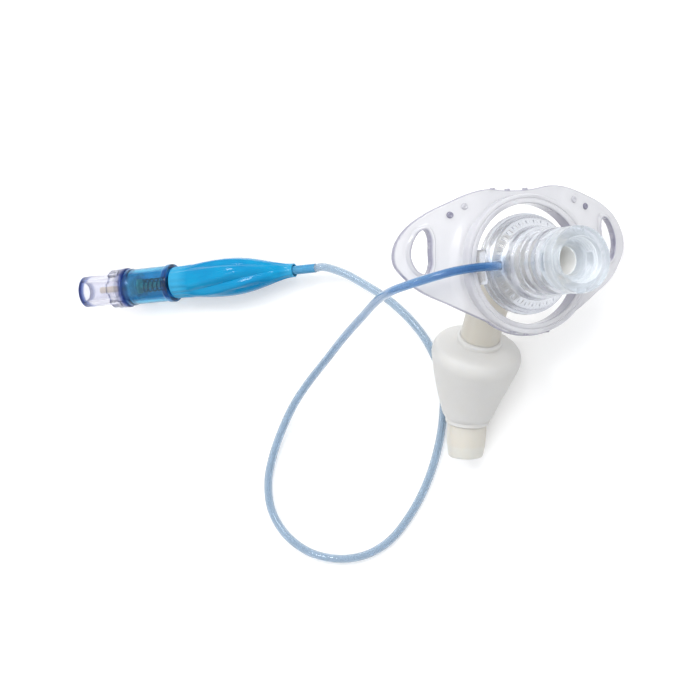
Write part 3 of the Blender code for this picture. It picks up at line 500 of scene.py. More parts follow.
raised = np.clip(hub_swell(hub_s, hub_r, around(HUB_SIDES)) / STUD_RISE, 0, 1)
hub = piece(
    "hub_moulding", [device(turned(hub_profile, HUB_SIDES, None, hub_swell))], "tube", "hub_body",
    {"stud_side": 4 * raised * (1 - raised), "frosted": band(hub_s, *FROSTED_SPAN, 0.3)},
)


def pillow(middle, half, power=6.0, steps=24):
    """A block with soft edges: a ball whose sines and cosines are raised to 2 / power, then stretched."""
    def soft(value):
        return np.sign(value) * np.abs(value) ** (2 / power)

    high = np.linspace(-math.pi / 2, math.pi / 2, steps)[:, None]
    turn = around(2 * steps)
    x, y = soft(np.cos(high)) * soft(np.cos(turn)), soft(np.cos(high)) * soft(np.sin(turn))
    return np.stack([x, y, soft(np.sin(high)) + 0 * turn], axis=-1) * half + middle, False, True


def rod(x_start, x_end, radius, rounding, y=PIVOT_Y, sides=48):
    """A rod along X at this y, with rounded ends that close on its axis."""
    low, high = sorted((x_start, x_end))
    corners = [(low, 0, 0), (low, radius, rounding), (high, radius, rounding), (high, 0, 0)]
    x, r = rounded(corners, closed=False).T[:, :, None]
    angle = around(sides)
    return np.stack([x + 0 * angle, y + r * np.cos(angle), r * np.sin(angle)], axis=-1), False, True


def carve(thing, operation, skins):
    """Joins skins of the device's points onto a piece, or cuts them from it, and keeps the resulting mesh."""
    for grid, close_rows, close_columns in skins:
        tool = piece("tool", [(device(grid), close_rows, close_columns)], None, None)
        step = thing.modifiers.new("step", "BOOLEAN")
        step.operation, step.object = operation, tool
        bpy.context.view_layer.update()
        made = bpy.data.meshes.new_from_object(thing.evaluated_get(bpy.context.evaluated_depsgraph_get()))
        thing.modifiers.remove(step)
        thing.data = made
        bpy.data.objects.remove(tool)
    thing.data.shade_smooth()
    thing.data.set_sharp_from_angle(angle=SHARP_ANGLE)


for side in (1, -1):
    ear = pillow((side * EAR_MIDDLE, PIVOT_Y, 0.0), EAR_HALF)
    carve(hub, "UNION", [ear, rod(side * (HUB_R - 1.0), side * PIN_END, PIN_R, 0.2)])
carve(hub, "DIFFERENCE", [rod(-14.0, -8.55, LINE_R + 0.12, 0.05, LINE_SOCKET[1])])
hub_finish = Finish("clear_hub_plastic", IOR=1.49, Transmission_Weight=0.88)
hub_finish.clouded((216, 220, 226), (236, 238, 242), 3.0, 3.0)
# Painted shade: the studs' sloping sides are tinted dark grey blue.
hub_finish.tint(hub_finish.attribute("stud_side"), 80, 86, 104)
frosted = hub_finish.attribute("frosted")
hub_finish.tint(frosted * 0.45, 200, 203, 212).vary(Roughness=frosted * 0.14 + 0.06)
# Painted blue haze round the line's socket, standing in for the blue line seen through the clear hub.
hub_finish.tint(hub_finish.near(device(LINE_SOCKET), 0.8, 4.6) * 0.6, 120, 168, 222)
hub_finish.bump(0.03, 1.4, 2.0).passes(0.75).on(hub)


# Connector: frosted moulding bonded on the inner tube. Its collar takes a 15 mm hose fitting and is notched
# at top and bottom; behind it are two snap ridges, a window at each side and a skirt that plugs the neck.
CONNECTOR_R, CONNECTOR_FRONT, RIM_BACK = 7.55, -26.5, -22.7
SNAP_R, RIDGE_R, SKIRT_R = 6.6, 7.05, 5.9
KEY_HALF_WIDTH, KEY_DEPTH, KEY_BITE = 1.3, 1.5, 1.2
WINDOW_HALF_WIDTH, WINDOW_BITE, WINDOW_SPAN = 2.0, 0.5, (-22.4, -19.6)
CONNECTOR_SIDES = 360


def connector_swell(s, r, angle):
    """The key notches at top and bottom of the collar, and the shallow windows at its neck's two sides."""
    key = band(r * np.cos(angle), -KEY_HALF_WIDTH, KEY_HALF_WIDTH, 0.12)
    key = key * band(s, CONNECTOR_FRONT, CONNECTOR_FRONT + KEY_DEPTH, 0.12) * (r > CONNECTOR_R - KEY_BITE)
    window = band(r * np.sin(angle), -WINDOW_HALF_WIDTH, WINDOW_HALF_WIDTH, 0.12)
    window = window * band(s, *WINDOW_SPAN, 0.12) * (r > SNAP_R - WINDOW_BITE) * (s > RIM_BACK + 0.05)
    return -key * (r - CONNECTOR_R + KEY_BITE) - window * (r - SNAP_R + WINDOW_BITE)


connector_profile = rounded([
    (CONNECTOR_FRONT, 5.3, 0.15), (CONNECTOR_FRONT, CONNECTOR_R, 0.45), (RIM_BACK, CONNECTOR_R, 0.4),
    (RIM_BACK, SNAP_R, 0.15), (-22.1, SNAP_R, 0.05), (-22.1, RIDGE_R, 0.18), (-21.5, RIDGE_R, 0.18),
    (-21.5, SNAP_R, 0.05), (-20.9, SNAP_R, 0.05), (-20.9, RIDGE_R, 0.18), (-20.3, RIDGE_R, 0.18),
    (-20.3, SNAP_R, 0.05), (-19.3, SNAP_R, 0.1), (-19.3, SKIRT_R, 0.1), (-15.4, SKIRT_R, 0.25),
    (-15.4, 3.95, 0.1), (-18.6, 3.95, 0.1), (-18.6, 3.25, 0.05), (-21.8, 3.25, 0.8), (-23.9, 4.75, 0.8),
    (-26.1, 5.1, 0.3),
], 5, 0.3)
connector_s, connector_r = connector_profile.T[:, :, None]
sunk = -connector_swell(connector_s, connector_r, around(CONNECTOR_SIDES)) / KEY_BITE
sunk = np.clip(sunk, 0, 1)
connector = piece(
    "connector_moulding", [device(turned(connector_profile, CONNECTOR_SIDES, None, connector_swell))],
    "tube", "inner_cannula_connector", {"notch_side": 4 * sunk * (1 - sunk)},
)
connector_finish = Finish(
    "frosted_connector_plastic", Roughness=0.24, IOR=1.44, Transmission_Weight=0.72, Coat_Weight=0.3,
    Coat_Roughness=0.1,
)
connector_finish.clouded((224, 230, 235), (236, 240, 244), 2.5, 3.0)
# Painted shade: the walls of the key notches and the windows are tinted grey blue.
connector_finish.tint(connector_finish.attribute("notch_side") * 0.8, 140, 150, 166)
connector_finish.bump(0.008, 0.3, 3.0).passes(0.85).on(connector)


# Neck flange: one clear moulding. A deep ring with a groove in its front edge turns on the hub's pins, and
# two wings sweep back from it, each with a strap slot inside a raised rim and a pair of small pips.
RING_INNER_R, RING_OUTER_R, RING_FRONT, RING_BACK = 13.75, 16.0, -3.2, 2.0
PLATE_HALF, PLATE_ROUND = 0.8, 0.35
WING_ROOT_X, WING_SWEEP, WING_SWEEP_SPAN, RING_SWEEP_MOST, SWEEP_BLEND = 10.0, 6.5, 20.0, 0.4, 3.0
SLOT_RIM, SLOT_RIM_RISE, SLOT_ROUND, WALL_FADE, PIP_SIDES = 0.9, 0.45, 0.3, 0.45, 28
BY_SLOT_X, BY_SLOT_LOW, BY_SLOT_HIGH, FAR_OFF = 20.0, -3.0, 12.0, 9.0
BEARING_R, BEARING_END = 1.55, 15.65
wing_edge = smooth_line([
    (0.0, 16.9), (4.0, 17.1), (8.0, 17.6), (12.4, 17.0), (17.8, 15.1), (22.7, 13.0), (27.1, 9.9), (29.7, 5.8),
    (29.9, 2.0), (28.0, -1.2), (24.8, -4.6), (19.0, -8.0), (14.4, -10.6), (10.6, -12.6),
], 0.3)
slot_edge = smooth_line([
    (22.3, 4.4), (22.2, 7.6), (23.0, 9.4), (24.4, 9.0), (26.0, 6.6), (26.6, 4.0), (26.2, 1.6), (24.9, -0.3),
    (23.4, -0.6), (22.5, 1.2),
], 0.1, closed=True)[:-1]


def swept(x):
    """How far the wings lean back at this distance from the middle."""
    return WING_SWEEP * (np.maximum(np.abs(x) - WING_ROOT_X, 0) / WING_SWEEP_SPAN) ** 1.5


def flat(angle, radius):
    """X and Z at this angle in degrees and this distance from the middle."""
    turn = np.radians(angle)
    return radius * np.cos(turn), radius * np.sin(turn)


def mirrored(angle):
    """The angle itself on the right half, and its mirror image on the left one."""
    x, z = flat(angle, 1.0)
    return np.degrees(np.arctan2(z, np.abs(x)))


def polar(points):
    """Angles from +X, in degrees, and distances from the middle."""
    return np.degrees(np.arctan2(points[:, 1], points[:, 0])), np.hypot(points[:, 0], points[:, 1])


def wing_reach(angle):
    """How far the plate reaches from the ring's middle at each angle of its right half."""
    angles, radii = polar(wing_edge[::-1])
    return np.interp(angle, angles, radii)


slot_angles, slot_radii = polar(slot_edge)
slot_low, slot_high = slot_angles.min(), slot_angles.max()
from_low = np.roll(np.arange(len(slot_edge)), -int(slot_angles.argmin()))
turning = int(slot_angles[from_low].argmax())
chains = [from_low[:turning + 1], np.append(from_low[turning:], from_low[0])[::-1]]
inner_chain, outer_chain = sorted(chains, key=lambda chain: slot_radii[chain].mean())


def slot_sides(angle):
    """The distances at which a ray from the middle meets the slot's near and far edges. Beyond the slot both
    are one seam, at the same share of the plate's width as its end."""
    width = wing_reach(angle) - PLATE_ROUND - RING_OUTER_R
    near = np.interp(angle, slot_angles[inner_chain], slot_radii[inner_chain])
    far = np.interp(angle, slot_angles[outer_chain], slot_radii[outer_chain])
    for end, outside in ((slot_low, angle < slot_low), (slot_high, angle > slot_high)):
        radius = slot_radii[np.abs(slot_angles - end).argmin()]
        share = (radius - RING_OUTER_R) / (wing_reach(end) - PLATE_ROUND - RING_OUTER_R)
        near, far = [np.where(outside, RING_OUTER_R + share * width, r) for r in (near, far)]
    return near, far


def wing_rows():
    """Angles round the plate from its lowest point: even steps, and finer ones over and beside the slots."""
    inside = slot_low + (slot_high - slot_low) * (1 - np.cos(np.linspace(0, math.pi, 44))) / 2
    past = np.array([0.08, 0.2, 0.4, 0.7, 1.1, 1.6])
    right = np.concatenate([slot_low - past[::-1], inside, slot_high + past])
    even = np.arange(-90.0, 270.0, 1.0)
    from_right = mirrored(even)
    outside = (from_right < right[0] - 0.3) | (from_right > right[-1] + 0.3)
    return np.sort(np.concatenate([even[outside], right, 180.0 - right]))


def plate_point(angle, radius, y):
    """The place of a point of the plate or ring at this angle, distance and depth, leaning back on a wing."""
    x, z = flat(angle, radius)
    sweep, share = swept(x), eased((radius - RING_OUTER_R) / SWEEP_BLEND)
    at_ring = np.minimum(sweep, RING_SWEEP_MOST) * (radius > RING_OUTER_R - 0.001)
    return np.stack([x, y + sweep * share + at_ring * (1 - share), z], axis=-1)


def plate_half(angle, radius):
    """Half the plate's thickness, with a rim that rises round the slot and rounds off into it, and the
    distance to the slot's edge."""
    x, z = flat(angle, radius)
    x = np.abs(x)
    away = np.full(x.shape, FAR_OFF)
    close = (x > BY_SLOT_X) & (z > BY_SLOT_LOW) & (z < BY_SLOT_HIGH)
    here = np.stack([x[close], z[close]], axis=1)
    away[close] = np.sqrt(((here[:, None] - slot_edge[None]) ** 2).sum(axis=2).min(axis=1))
    rim = band(away, -1.0, SLOT_RIM - 0.25, 0.35)
    rounding = np.clip(1 - away / SLOT_ROUND, 0, 1)
    drop = SLOT_ROUND * (1 - np.sqrt(1 - rounding ** 2))
    return PLATE_HALF + SLOT_RIM_RISE * rim - drop, away


rows = wing_rows()[:, None]
folded = mirrored(rows)
near, far = slot_sides(folded)
reach = wing_reach(folded) - PLATE_ROUND
inner_r = near - (near - RING_OUTER_R) * np.linspace(1, 0, 30)[None, :] ** 1.6
outer_r = far + (reach - far) * np.linspace(0, 1, 18)[None, :] ** 1.4
inner_half, inner_away = plate_half(rows, inner_r)
outer_half, outer_away = plate_half(rows, outer_r)
quarter = np.linspace(0, math.pi / 2, 6)[None, 1:]
edge_r = reach + PLATE_ROUND * np.sin(quarter)
edge_half = PLATE_HALF - PLATE_ROUND + PLATE_ROUND * np.cos(quarter) + 0 * edge_r
ring = rounded([
    (RING_OUTER_R, PLATE_HALF, 0), (RING_OUTER_R, RING_BACK, 0.6), (RING_INNER_R, RING_BACK, 0.6),
    (RING_INNER_R, RING_FRONT, 0.7), (14.75, RING_FRONT, 0.15), (14.95, RING_FRONT + 0.28, 0.12),
    (15.15, RING_FRONT, 0.15), (RING_OUTER_R, RING_FRONT, 0.6), (RING_OUTER_R, -PLATE_HALF, 0),
], 6, 0.7, closed=False)[1:-1]
ring_r, ring_y = [column[None, :] + 0 * rows for column in ring.T]
inner_skin = np.concatenate([
    plate_point(rows, inner_r, inner_half)[:, ::-1], plate_point(rows, ring_r - 0.002, ring_y),
    plate_point(rows, inner_r, -inner_half),
], axis=1)
outer_skin = np.concatenate([
    plate_point(rows, outer_r, -outer_half), plate_point(rows, edge_r, -edge_half),
    plate_point(rows, edge_r, edge_half)[:, ::-1], plate_point(rows, outer_r, outer_half)[:, ::-1],
], axis=1)
in_slot = (folded[:, 0] >= slot_low - 1e-6) & (folded[:, 0] <= slot_high + 1e-6)
slot_walls = []
for side in (1, -1):
    here = in_slot & (side * flat(rows[:, 0], 1.0)[0] > 0)
    slot_walls += [(device(skin[here][:, [0, -1]]), False, False) for skin in (inner_skin, outer_skin)]


def wall_share(away):
    """1 on the slot's wall, fading out over the rounding beside it."""
    return np.clip(1 - away / WALL_FADE, 0, 1)


# Painted shade: shares of a grey violet tint on the slot walls, the plate's rounded outer edge and the ring's
# inner wall, where clear plastic shows dark edges.
round_painted_shade = np.sin(quarter) + 0 * edge_r
ring_painted_shade = band(ring_r, 0, RING_INNER_R + 0.1, 0.5) * band(ring_y, RING_FRONT + 0.6, RING_BACK, 0.5)
inner_painted_shade = np.concatenate([wall_share(inner_away[:, ::-1]), ring_painted_shade, wall_share(inner_away)], axis=1)
outer_painted_shade = np.concatenate([
    wall_share(outer_away), round_painted_shade, round_painted_shade[:, ::-1], wall_share(outer_away[:, ::-1]),
], axis=1)
painted_shade_values = [inner_painted_shade.ravel(), outer_painted_shade.ravel(), *[np.ones(2 * len(wall[0])) for wall in slot_walls]]


def pip(x, z):
    """A small dome with a dimple in its crown, which stands on the front of a wing and is closed behind."""
    corners = [(0.85, -0.3, 0), (0.75, 0.12, 0.1), (0.55, 0.5, 0.2), (0.3, 0.45, 0.1), (0.0, 0.25, 0)]
    r, rise = rounded(corners, 5, 0.1, closed=False).T[:, :, None]
    turn = around(PIP_SIDES)
    px, pz = x + r * np.cos(turn), z + r * np.sin(turn)
    dome = np.stack([px, swept(px) - PLATE_HALF - rise, pz], axis=-1)
    base = dome[:1] * 0 + dome[:1].mean(axis=1, keepdims=True)
    return device(np.concatenate([base, dome])), False, True


# The stubs are what is left of the moulding's gates, on the plate's top edge and under the ring.
STUB_HALF, STUB_PAINTED_SHADE = (0.5, 0.6, 0.36), 0.55
stub_places = [(-6.7, 0.0, 17.45), (-2.9, 0.0, 17.1), (1.7, 0.0, 17.05)]
stub_places += [(-5.0, -1.6, -15.3), (-1.6, -1.6, -15.98), (3.7, -1.6, -15.65)]
small_skins = [pip(side * x, z) for side in (1, -1) for x, z in ((14.2, 14.0), (17.6, 12.3))]
small_skins += [(device(pillow(place, STUB_HALF)[0]), False, True) for place in stub_places]
# Painted shade: each pip and stub takes a share of the flange's dark edge tint, the outer pip of each pair
# darker than the inner one.
small_painted_shades = [0.25, 1.0, 0.25, 1.0] + [STUB_PAINTED_SHADE] * len(stub_places)
small_painted_shade_values = [np.full(skin[0][..., 0].size, tint) for skin, tint in zip(small_skins, small_painted_shades)]
pips = piece(
    "neck_flange_pips", small_skins, "flange", "neck_flange", {"edge": np.concatenate(small_painted_shade_values)},
)
flange = piece(
    "neck_flange_moulding",
    [(device(inner_skin), True, False), (device(outer_skin), True, False), *slot_walls],
    "flange", "neck_flange", {"edge": np.concatenate(painted_shade_values)},
)
for side in (1, -1):
    carve(flange, "DIFFERENCE", [rod(side * (RING_INNER_R - 1.5), side * BEARING_END, BEARING_R, 0.1)])
flange_finish = Finish(
    "clear_flange_plastic", Roughness=0.14, IOR=1.44, Transmission_Weight=0.4, Coat_Weight=0.3,
    Coat_Roughness=0.1,
)
flange_finish.clouded((226, 226, 229), (236, 236, 239), 5.0, 3.0)
# Painted shade: the edge values tint the flange's edges, pips and stubs grey violet.
flange_finish.tint(flange_finish.attribute("edge") * 0.85, 132, 130, 156)
flange_finish.bump(0.02, 2.2, 2.0).passes(0.6).on(flange, pips)


# Cuff: thin tapered film of milky PVC, blown in a mould, pulled over the tube and bonded to it at two
# collars. It stands filled, with a full shoulder to the hub and a long cone to the tip.
CUFF_START, CUFF_END, CUFF_COLLAR, CUFF_FILM = 31.0, 53.6, 1.2, 0.3
CUFF_COLLAR_R, CUFF_CREST, CUFF_R, CUFF_NOSE_R, CUFF_SIDES = 5.3, 36.4, 10.7, 5.9, 144
cuff_foot, cuff_nose = CUFF_START + CUFF_COLLAR, CUFF_END - CUFF_COLLAR - 0.6
rise = [(0.05, 0.12), (0.11, 0.36), (0.18, 0.6), (0.34, 0.85), (0.62, 0.975), (1.0, 1.0)]
fall = [0.14, 0.3, 0.5, 0.7, 0.88, 0.97]
cuff_swelling = CUFF_R - CUFF_COLLAR_R
cuff_knots = [
    (cuff_foot, CUFF_COLLAR_R + 0.05),
    *[(cuff_foot + t * (CUFF_CREST - cuff_foot), CUFF_COLLAR_R + h * cuff_swelling) for t, h in rise],
    *[(CUFF_CREST + t * (cuff_nose - CUFF_CREST), CUFF_R - (CUFF_R - CUFF_NOSE_R) * t ** 1.15) for t in fall],
    (cuff_nose + 0.3, 5.62), (CUFF_END - CUFF_COLLAR, CUFF_COLLAR_R + 0.03),
]
cuff_outside = np.concatenate([
    [(CUFF_START - 0.25, TUBE_R + 0.06), (CUFF_START - 0.1, TUBE_R + 0.3)],
    [(CUFF_START + 0.15, CUFF_COLLAR_R), (cuff_foot - 0.7, CUFF_COLLAR_R + 0.14)],
    [(cuff_foot - 0.25, CUFF_COLLAR_R + 0.04)],
    smooth_line(cuff_knots, 0.25),
    [(CUFF_END - 0.3, CUFF_COLLAR_R), (CUFF_END, TUBE_R + 0.25), (CUFF_END + 0.1, TUBE_R + 0.06)],
])
cuff_way = np.gradient(cuff_outside, axis=0)
cuff_way /= np.linalg.norm(cuff_way, axis=1)[:, None]
cuff_inside = cuff_outside + CUFF_FILM * np.stack([cuff_way[:, 1], -cuff_way[:, 0]], axis=1)
cuff_inside[:, 1] = np.maximum(cuff_inside[:, 1], TUBE_R + 0.02)
cuff_inside[[0, 1, -2, -1], 0] = cuff_outside[[0, 1, -2, -1], 0]
cuff_profile = np.concatenate([cuff_outside, cuff_inside[::-1]])


def cuff_swell(s, r, angle):
    """Faint gathers that run out from both collars, and a slow wave over the film."""
    gathers = np.sin(17 * angle + 1.3 * np.sin(3 * angle)) * np.exp(-((s - cuff_foot - 0.9) / 1.1) ** 2)
    nose = np.sin(14 * angle + np.sin(2 * angle)) * np.exp(-((s - cuff_nose + 0.8) / 1.2) ** 2)
    slow = np.sin(3 * angle + 0.25 * s) * band(s, 35.0, 50.0, 3.0)
    return 0.05 * gathers + 0.035 * nose + 0.05 * slow


cuff = piece(
    "cuff_film", [device(turned(cuff_profile, CUFF_SIDES, tube_line, cuff_swell))], "tube", "cuff",
)
cuff_finish = Finish(
    "milky_cuff_film", Roughness=0.42, IOR=1.45, Subsurface_Weight=0.5, Subsurface_Radius=(1.0, 0.9, 0.75),
    Subsurface_Scale=0.0015, Transmission_Weight=0.12,
)
cuff_finish.clouded((240, 236, 227), (247, 244, 238), 7.0, 3.0)
cuff_finish.bump(0.012, 0.8, 3.0).passes(0.3).on(cuff)


# Tail sleeve: short length of clear cyan tube, cut square. It is bonded over the line's end and into the
# balloon's tail, and so joins the two.
SLEEVE_R, SLEEVE_BORE_R, SLEEVE_LENGTH, SLEEVE_SIDES = 1.12, 1.02, 8.2, 40
sleeve_profile = rounded([
    (0.0, SLEEVE_BORE_R, 0.02), (0.0, SLEEVE_R, 0.04), (SLEEVE_LENGTH, SLEEVE_R, 0.04),
    (SLEEVE_LENGTH, SLEEVE_BORE_R, 0.02),
], 5, 0.6)
sleeve = piece("tail_sleeve", [pilot(turned(sleeve_profile, SLEEVE_SIDES))], "tube", "balloon_tail_sleeve")
sleeve_finish = Finish("clear_cyan_sleeve", Roughness=0.1, IOR=1.45, Transmission_Weight=0.55)
sleeve_finish.clouded((70, 172, 222), (110, 196, 232), 1.5)
sleeve_finish.bump(0.01, 0.5, 2.0).passes(0.5).on(sleeve)


# Pilot balloon: thin glossy blue film, blown as a tube and shrunk on the sleeve and on the valve's spigot.
# Filled, it still keeps the long creases that it was packed flat with.
BALLOON_START, BALLOON_LENGTH, BALLOON_FILM, BALLOON_SIDES = 6.0, 34.0, 0.3, 240
BALLOON_R, BALLOON_NECK_R, BALLOON_TAIL_R = 4.75, 3.95, 1.7
cone = [(0.05, 0.02), (0.13, 0.2), (0.24, 0.5), (0.35, 0.78), (0.46, 0.95), (0.56, 1.0)]
shoulder = [(0.7, 0.8), (0.84, 0.25), (0.92, 0.0), (1.0, 0.0)]
balloon_knots = [(BALLOON_START, BALLOON_TAIL_R)]
for low, shape in ((BALLOON_TAIL_R, cone), (BALLOON_NECK_R, shoulder)):
    balloon_knots += [(BALLOON_START + t * BALLOON_LENGTH, low + h * (BALLOON_R - low)) for t, h in shape]
balloon_outside = smooth_line(balloon_knots, 0.2)
balloon_profile = np.concatenate([balloon_outside, balloon_outside[::-1] - (0.0, BALLOON_FILM)])
# Each crease: its angle at the tail, its twist to the neck, its start and end, its depth and its half width.
creases = [
    (1.3, 1.2, 8.0, 38.0, 0.75, 0.34), (0.85, -0.15, 11.0, 36.0, 0.5, 0.26),
    (2.5, -0.2, 12.0, 28.0, 0.25, 0.3), (3.9, 0.5, 10.0, 36.0, 0.45, 0.38),
    (5.1, -0.4, 12.0, 37.0, 0.35, 0.34),
]


def balloon_swell(s, r, angle):
    """Creases: each follows a slow twist, is deepest in its middle and has a V floor between soft ridges."""
    total = 0.0
    share = (s - BALLOON_START) / BALLOON_LENGTH
    for start_angle, twist, low, high, depth, half in creases:
        off = (angle - start_angle - twist * share + math.pi) % (2 * math.pi) - math.pi
        away = np.abs(off) / half
        fade = np.sin(math.pi * np.clip((s - low) / (high - low), 0, 1)) ** 0.8
        groove = -np.clip(1 - away, 0, 1) ** 1.5 + 0.35 * np.exp(-((away - 1.25) / 0.45) ** 2)
        total = total + depth * fade * groove * np.clip(r / BALLOON_R, 0, 1)
    total = total + 0.09 * band(s, 35.5, 39.0, 1.2) * np.sin(19 * angle + 2 * np.sin(2 * angle))
    return total + 0.07 * band(s, 7.5, 10.5, 1.5) * np.sin(9 * angle)


balloon = piece(
    "pilot_balloon_film", [pilot(turned(balloon_profile, BALLOON_SIDES, None, balloon_swell))], "tube",
    "pilot_balloon", {"along": (balloon_profile[:, 0] - BALLOON_START) / BALLOON_LENGTH},
)
balloon_finish = Finish(
    "glossy_blue_film", Roughness=0.14, IOR=1.36, Specular_IOR_Level=0.22, Transmission_Weight=0.06,
    Coat_Weight=0.14, Coat_Roughness=0.05,
)
balloon_finish.clouded((0, 116, 178), (0, 168, 214), 4.0, 4.0, (1.0, 0.45, 1.0))
none, most = (0.0, 0.0, 0.0), (0.6, 0.6, 0.6)
balloon_finish.tint(balloon_finish.ramp(
    balloon_finish.attribute("along"), (0.0, most), (0.1, none), (0.84, none), (0.93, most),
), 70, 178, 220)
balloon_finish.bump(0.05, 1.1, 3.0, (1.0, 0.35, 1.0)).passes(0.3).on(balloon)


# Valve housing: clear blue cup with a bored spigot that the balloon's neck is shrunk on, and a bead at each
# end. It holds the spring, which shows through it.
HOUSING_BASE, HOUSING_RIM, HOUSING_R, HOUSING_WALL = 40.3, 53.3, 4.6, 0.9
SPIGOT_START, SPIGOT_R, AIR_HOLE_R, HOUSING_SIDES = 36.9, 3.35, 0.8, 96
housing_profile = rounded([
    (SPIGOT_START, AIR_HOLE_R, 0.05), (SPIGOT_START, SPIGOT_R, 0.3), (HOUSING_BASE, SPIGOT_R, 0.15),
    (HOUSING_BASE, HOUSING_R + 0.2, 0.4), (41.7, HOUSING_R + 0.2, 0.4), (42.0, HOUSING_R - 0.1, 0.2),
    (51.9, HOUSING_R - 0.1, 0.2), (52.2, HOUSING_R + 0.12, 0.2), (HOUSING_RIM, HOUSING_R + 0.12, 0.25),
    (HOUSING_RIM, HOUSING_R - HOUSING_WALL, 0.1),
    (HOUSING_BASE + HOUSING_WALL, HOUSING_R - HOUSING_WALL, 0.3),
    (HOUSING_BASE + HOUSING_WALL, AIR_HOLE_R, 0.05),
], 5, 0.5)
housing = piece(
    "valve_housing_cup", [pilot(turned(housing_profile, HOUSING_SIDES))], "tube", "valve_housing",
    {"along": housing_profile[:, 0]},
)
housing_finish = Finish("clear_blue_housing", Roughness=0.04, IOR=1.42, Transmission_Weight=0.96)
cup_place = housing_finish.attribute("along")
# Painted shade: the spigot with the base bead, and the rim bead, are tinted navy where their edges are seen
# through much plastic.
painted_bead_shade = 1.0 - housing_finish.between(cup_place, 41.6, 42.2)
painted_bead_shade = painted_bead_shade + housing_finish.between(cup_place, 51.9, 52.3)
housing_finish.clouded((36, 158, 206), (96, 196, 228), 2.2, 3.0).tint(painted_bead_shade * 0.75, 16, 80, 156)
housing_finish.bump(0.03, 1.0, 2.0).passes(0.7).on(housing)


# Valve body: clear moulding with a luer cone, a collar with six square teeth, the valve's seat and a skirt
# that plugs the housing. Its tint gathers to navy where an edge is seen through much plastic.
COLLAR_BASE, RING_END, TEETH_END, COLLAR_R, LUER_R, LUER_MOUTH_R = 53.6, 55.4, 58.0, 5.0, 3.95, 2.4
TEETH, TOOTH_SHARE, TOOTH_GAP_R, BODY_SIDES = 6, 0.55, 4.15, 288
SEAT_BACK, SEAT_HOLE_R, THROAT_R, BODY_SKIRT_R, BODY_SKIRT_START = 52.4, 1.35, 2.0, 3.4, 50.0


def collar_swell(s, r, angle):
    """Gaps between the collar's teeth, cut down to just over the luer."""
    gaps = 1 - comb(angle, TEETH, TOOTH_SHARE, 40)
    return -gaps * band(s, RING_END + 0.15, TEETH_END + 1.0, 0.12) * np.maximum(r - TOOTH_GAP_R, 0)


body_profile = rounded([
    (BODY_SKIRT_START, 2.7, 0.05), (BODY_SKIRT_START, BODY_SKIRT_R, 0.1), (COLLAR_BASE, BODY_SKIRT_R, 0.1),
    (COLLAR_BASE, COLLAR_R, 0.3), (TEETH_END, COLLAR_R, 0.35), (TEETH_END, LUER_R, 0.2),
    (LUER_MOUTH, LUER_R, 0.25), (LUER_MOUTH, LUER_MOUTH_R, 0.2), (COLLAR_BASE, THROAT_R, 0.1),
    (COLLAR_BASE, SEAT_HOLE_R, 0.1), (SEAT_BACK, SEAT_HOLE_R, 0.1), (SEAT_BACK, 2.7, 0.1),
], 5, 0.35)
body_s, body_r = body_profile.T
navy_share = np.maximum.reduce([
    band(body_s, LUER_MOUTH - 0.9, LUER_MOUTH + 1, 0.2) * (body_r > 2.2),
    band(body_s, COLLAR_BASE - 0.2, COLLAR_BASE + 0.6, 0.3) * (body_r > 3.3),
    0.55 * band(body_s, COLLAR_BASE, RING_END, 0.3) * (body_r > 4.0),
    0.8 * band(body_s, TEETH_END - 0.5, TEETH_END + 0.1, 0.25) * (body_r > 4.0),
])
valve_body = piece(
    "valve_body_luer", [pilot(turned(body_profile, BODY_SIDES, None, collar_swell))], "tube", "valve_body",
    {"navy": navy_share},
)
body_finish = Finish("clear_luer_plastic", Roughness=0.06, IOR=1.47, Transmission_Weight=0.85)
body_finish.clouded((226, 226, 236), (240, 240, 246), 2.5, 2.0)
body_finish.tint(body_finish.attribute("navy"), 18, 46, 128)
body_finish.bump(0.02, 1.2, 2.0).passes(0.75).on(valve_body)


# Plunger: beige moulding. A stem up the luer that a syringe pushes, a head behind the seal and a guide pin in
# the spring. Its seal is a punched washer of black rubber.
STEM_R, HEAD_R, HEAD_SPAN, STEM_SPAN, STEM_SIDES = 0.8, 1.9, (50.0, 51.1), (43.7, 62.0), 48
stem_profile = rounded([
    (STEM_SPAN[0], 0.0, 0), (STEM_SPAN[0], STEM_R, 0.25), (HEAD_SPAN[0], STEM_R, 0.1),
    (HEAD_SPAN[0], HEAD_R, 0.2), (HEAD_SPAN[1], HEAD_R, 0.15), (HEAD_SPAN[1], STEM_R, 0.1),
    (STEM_SPAN[1], STEM_R, 0.35), (STEM_SPAN[1], 0.0, 0),
], 5, 0.5, closed=False)
stem_skin = pilot(turned(stem_profile, STEM_SIDES))
plunger = piece("valve_plunger_stem", [(stem_skin, False, True)], "plunger", "valve_plunger")
stem_finish = Finish("beige_plunger_plastic", Roughness=0.4, IOR=1.48)
stem_finish.clouded((176, 158, 128), (196, 180, 150), 0.8, 3.0)
stem_finish.bump(0.008, 0.3, 3.0).on(plunger)

SEAL_SPAN, SEAL_BORE_R, SEAL_R, SEAL_SIDES = (51.4, 52.1), 1.1, 2.1, 56
seal_profile = rounded([
    (SEAL_SPAN[0], SEAL_BORE_R, 0.05), (SEAL_SPAN[0], SEAL_R, 0.12), (SEAL_SPAN[1], SEAL_R, 0.12),
    (SEAL_SPAN[1], SEAL_BORE_R, 0.05),
], 4)
seal = piece("valve_seal_washer", [pilot(turned(seal_profile, SEAL_SIDES))], "plunger", "valve_seal")
seal_finish = Finish("black_rubber", Roughness=0.62, IOR=1.5)
seal_finish.clouded((34, 36, 40), (52, 54, 58), 0.5, 3.0)
seal_finish.bump(0.01, 0.15, 3.0).on(seal)


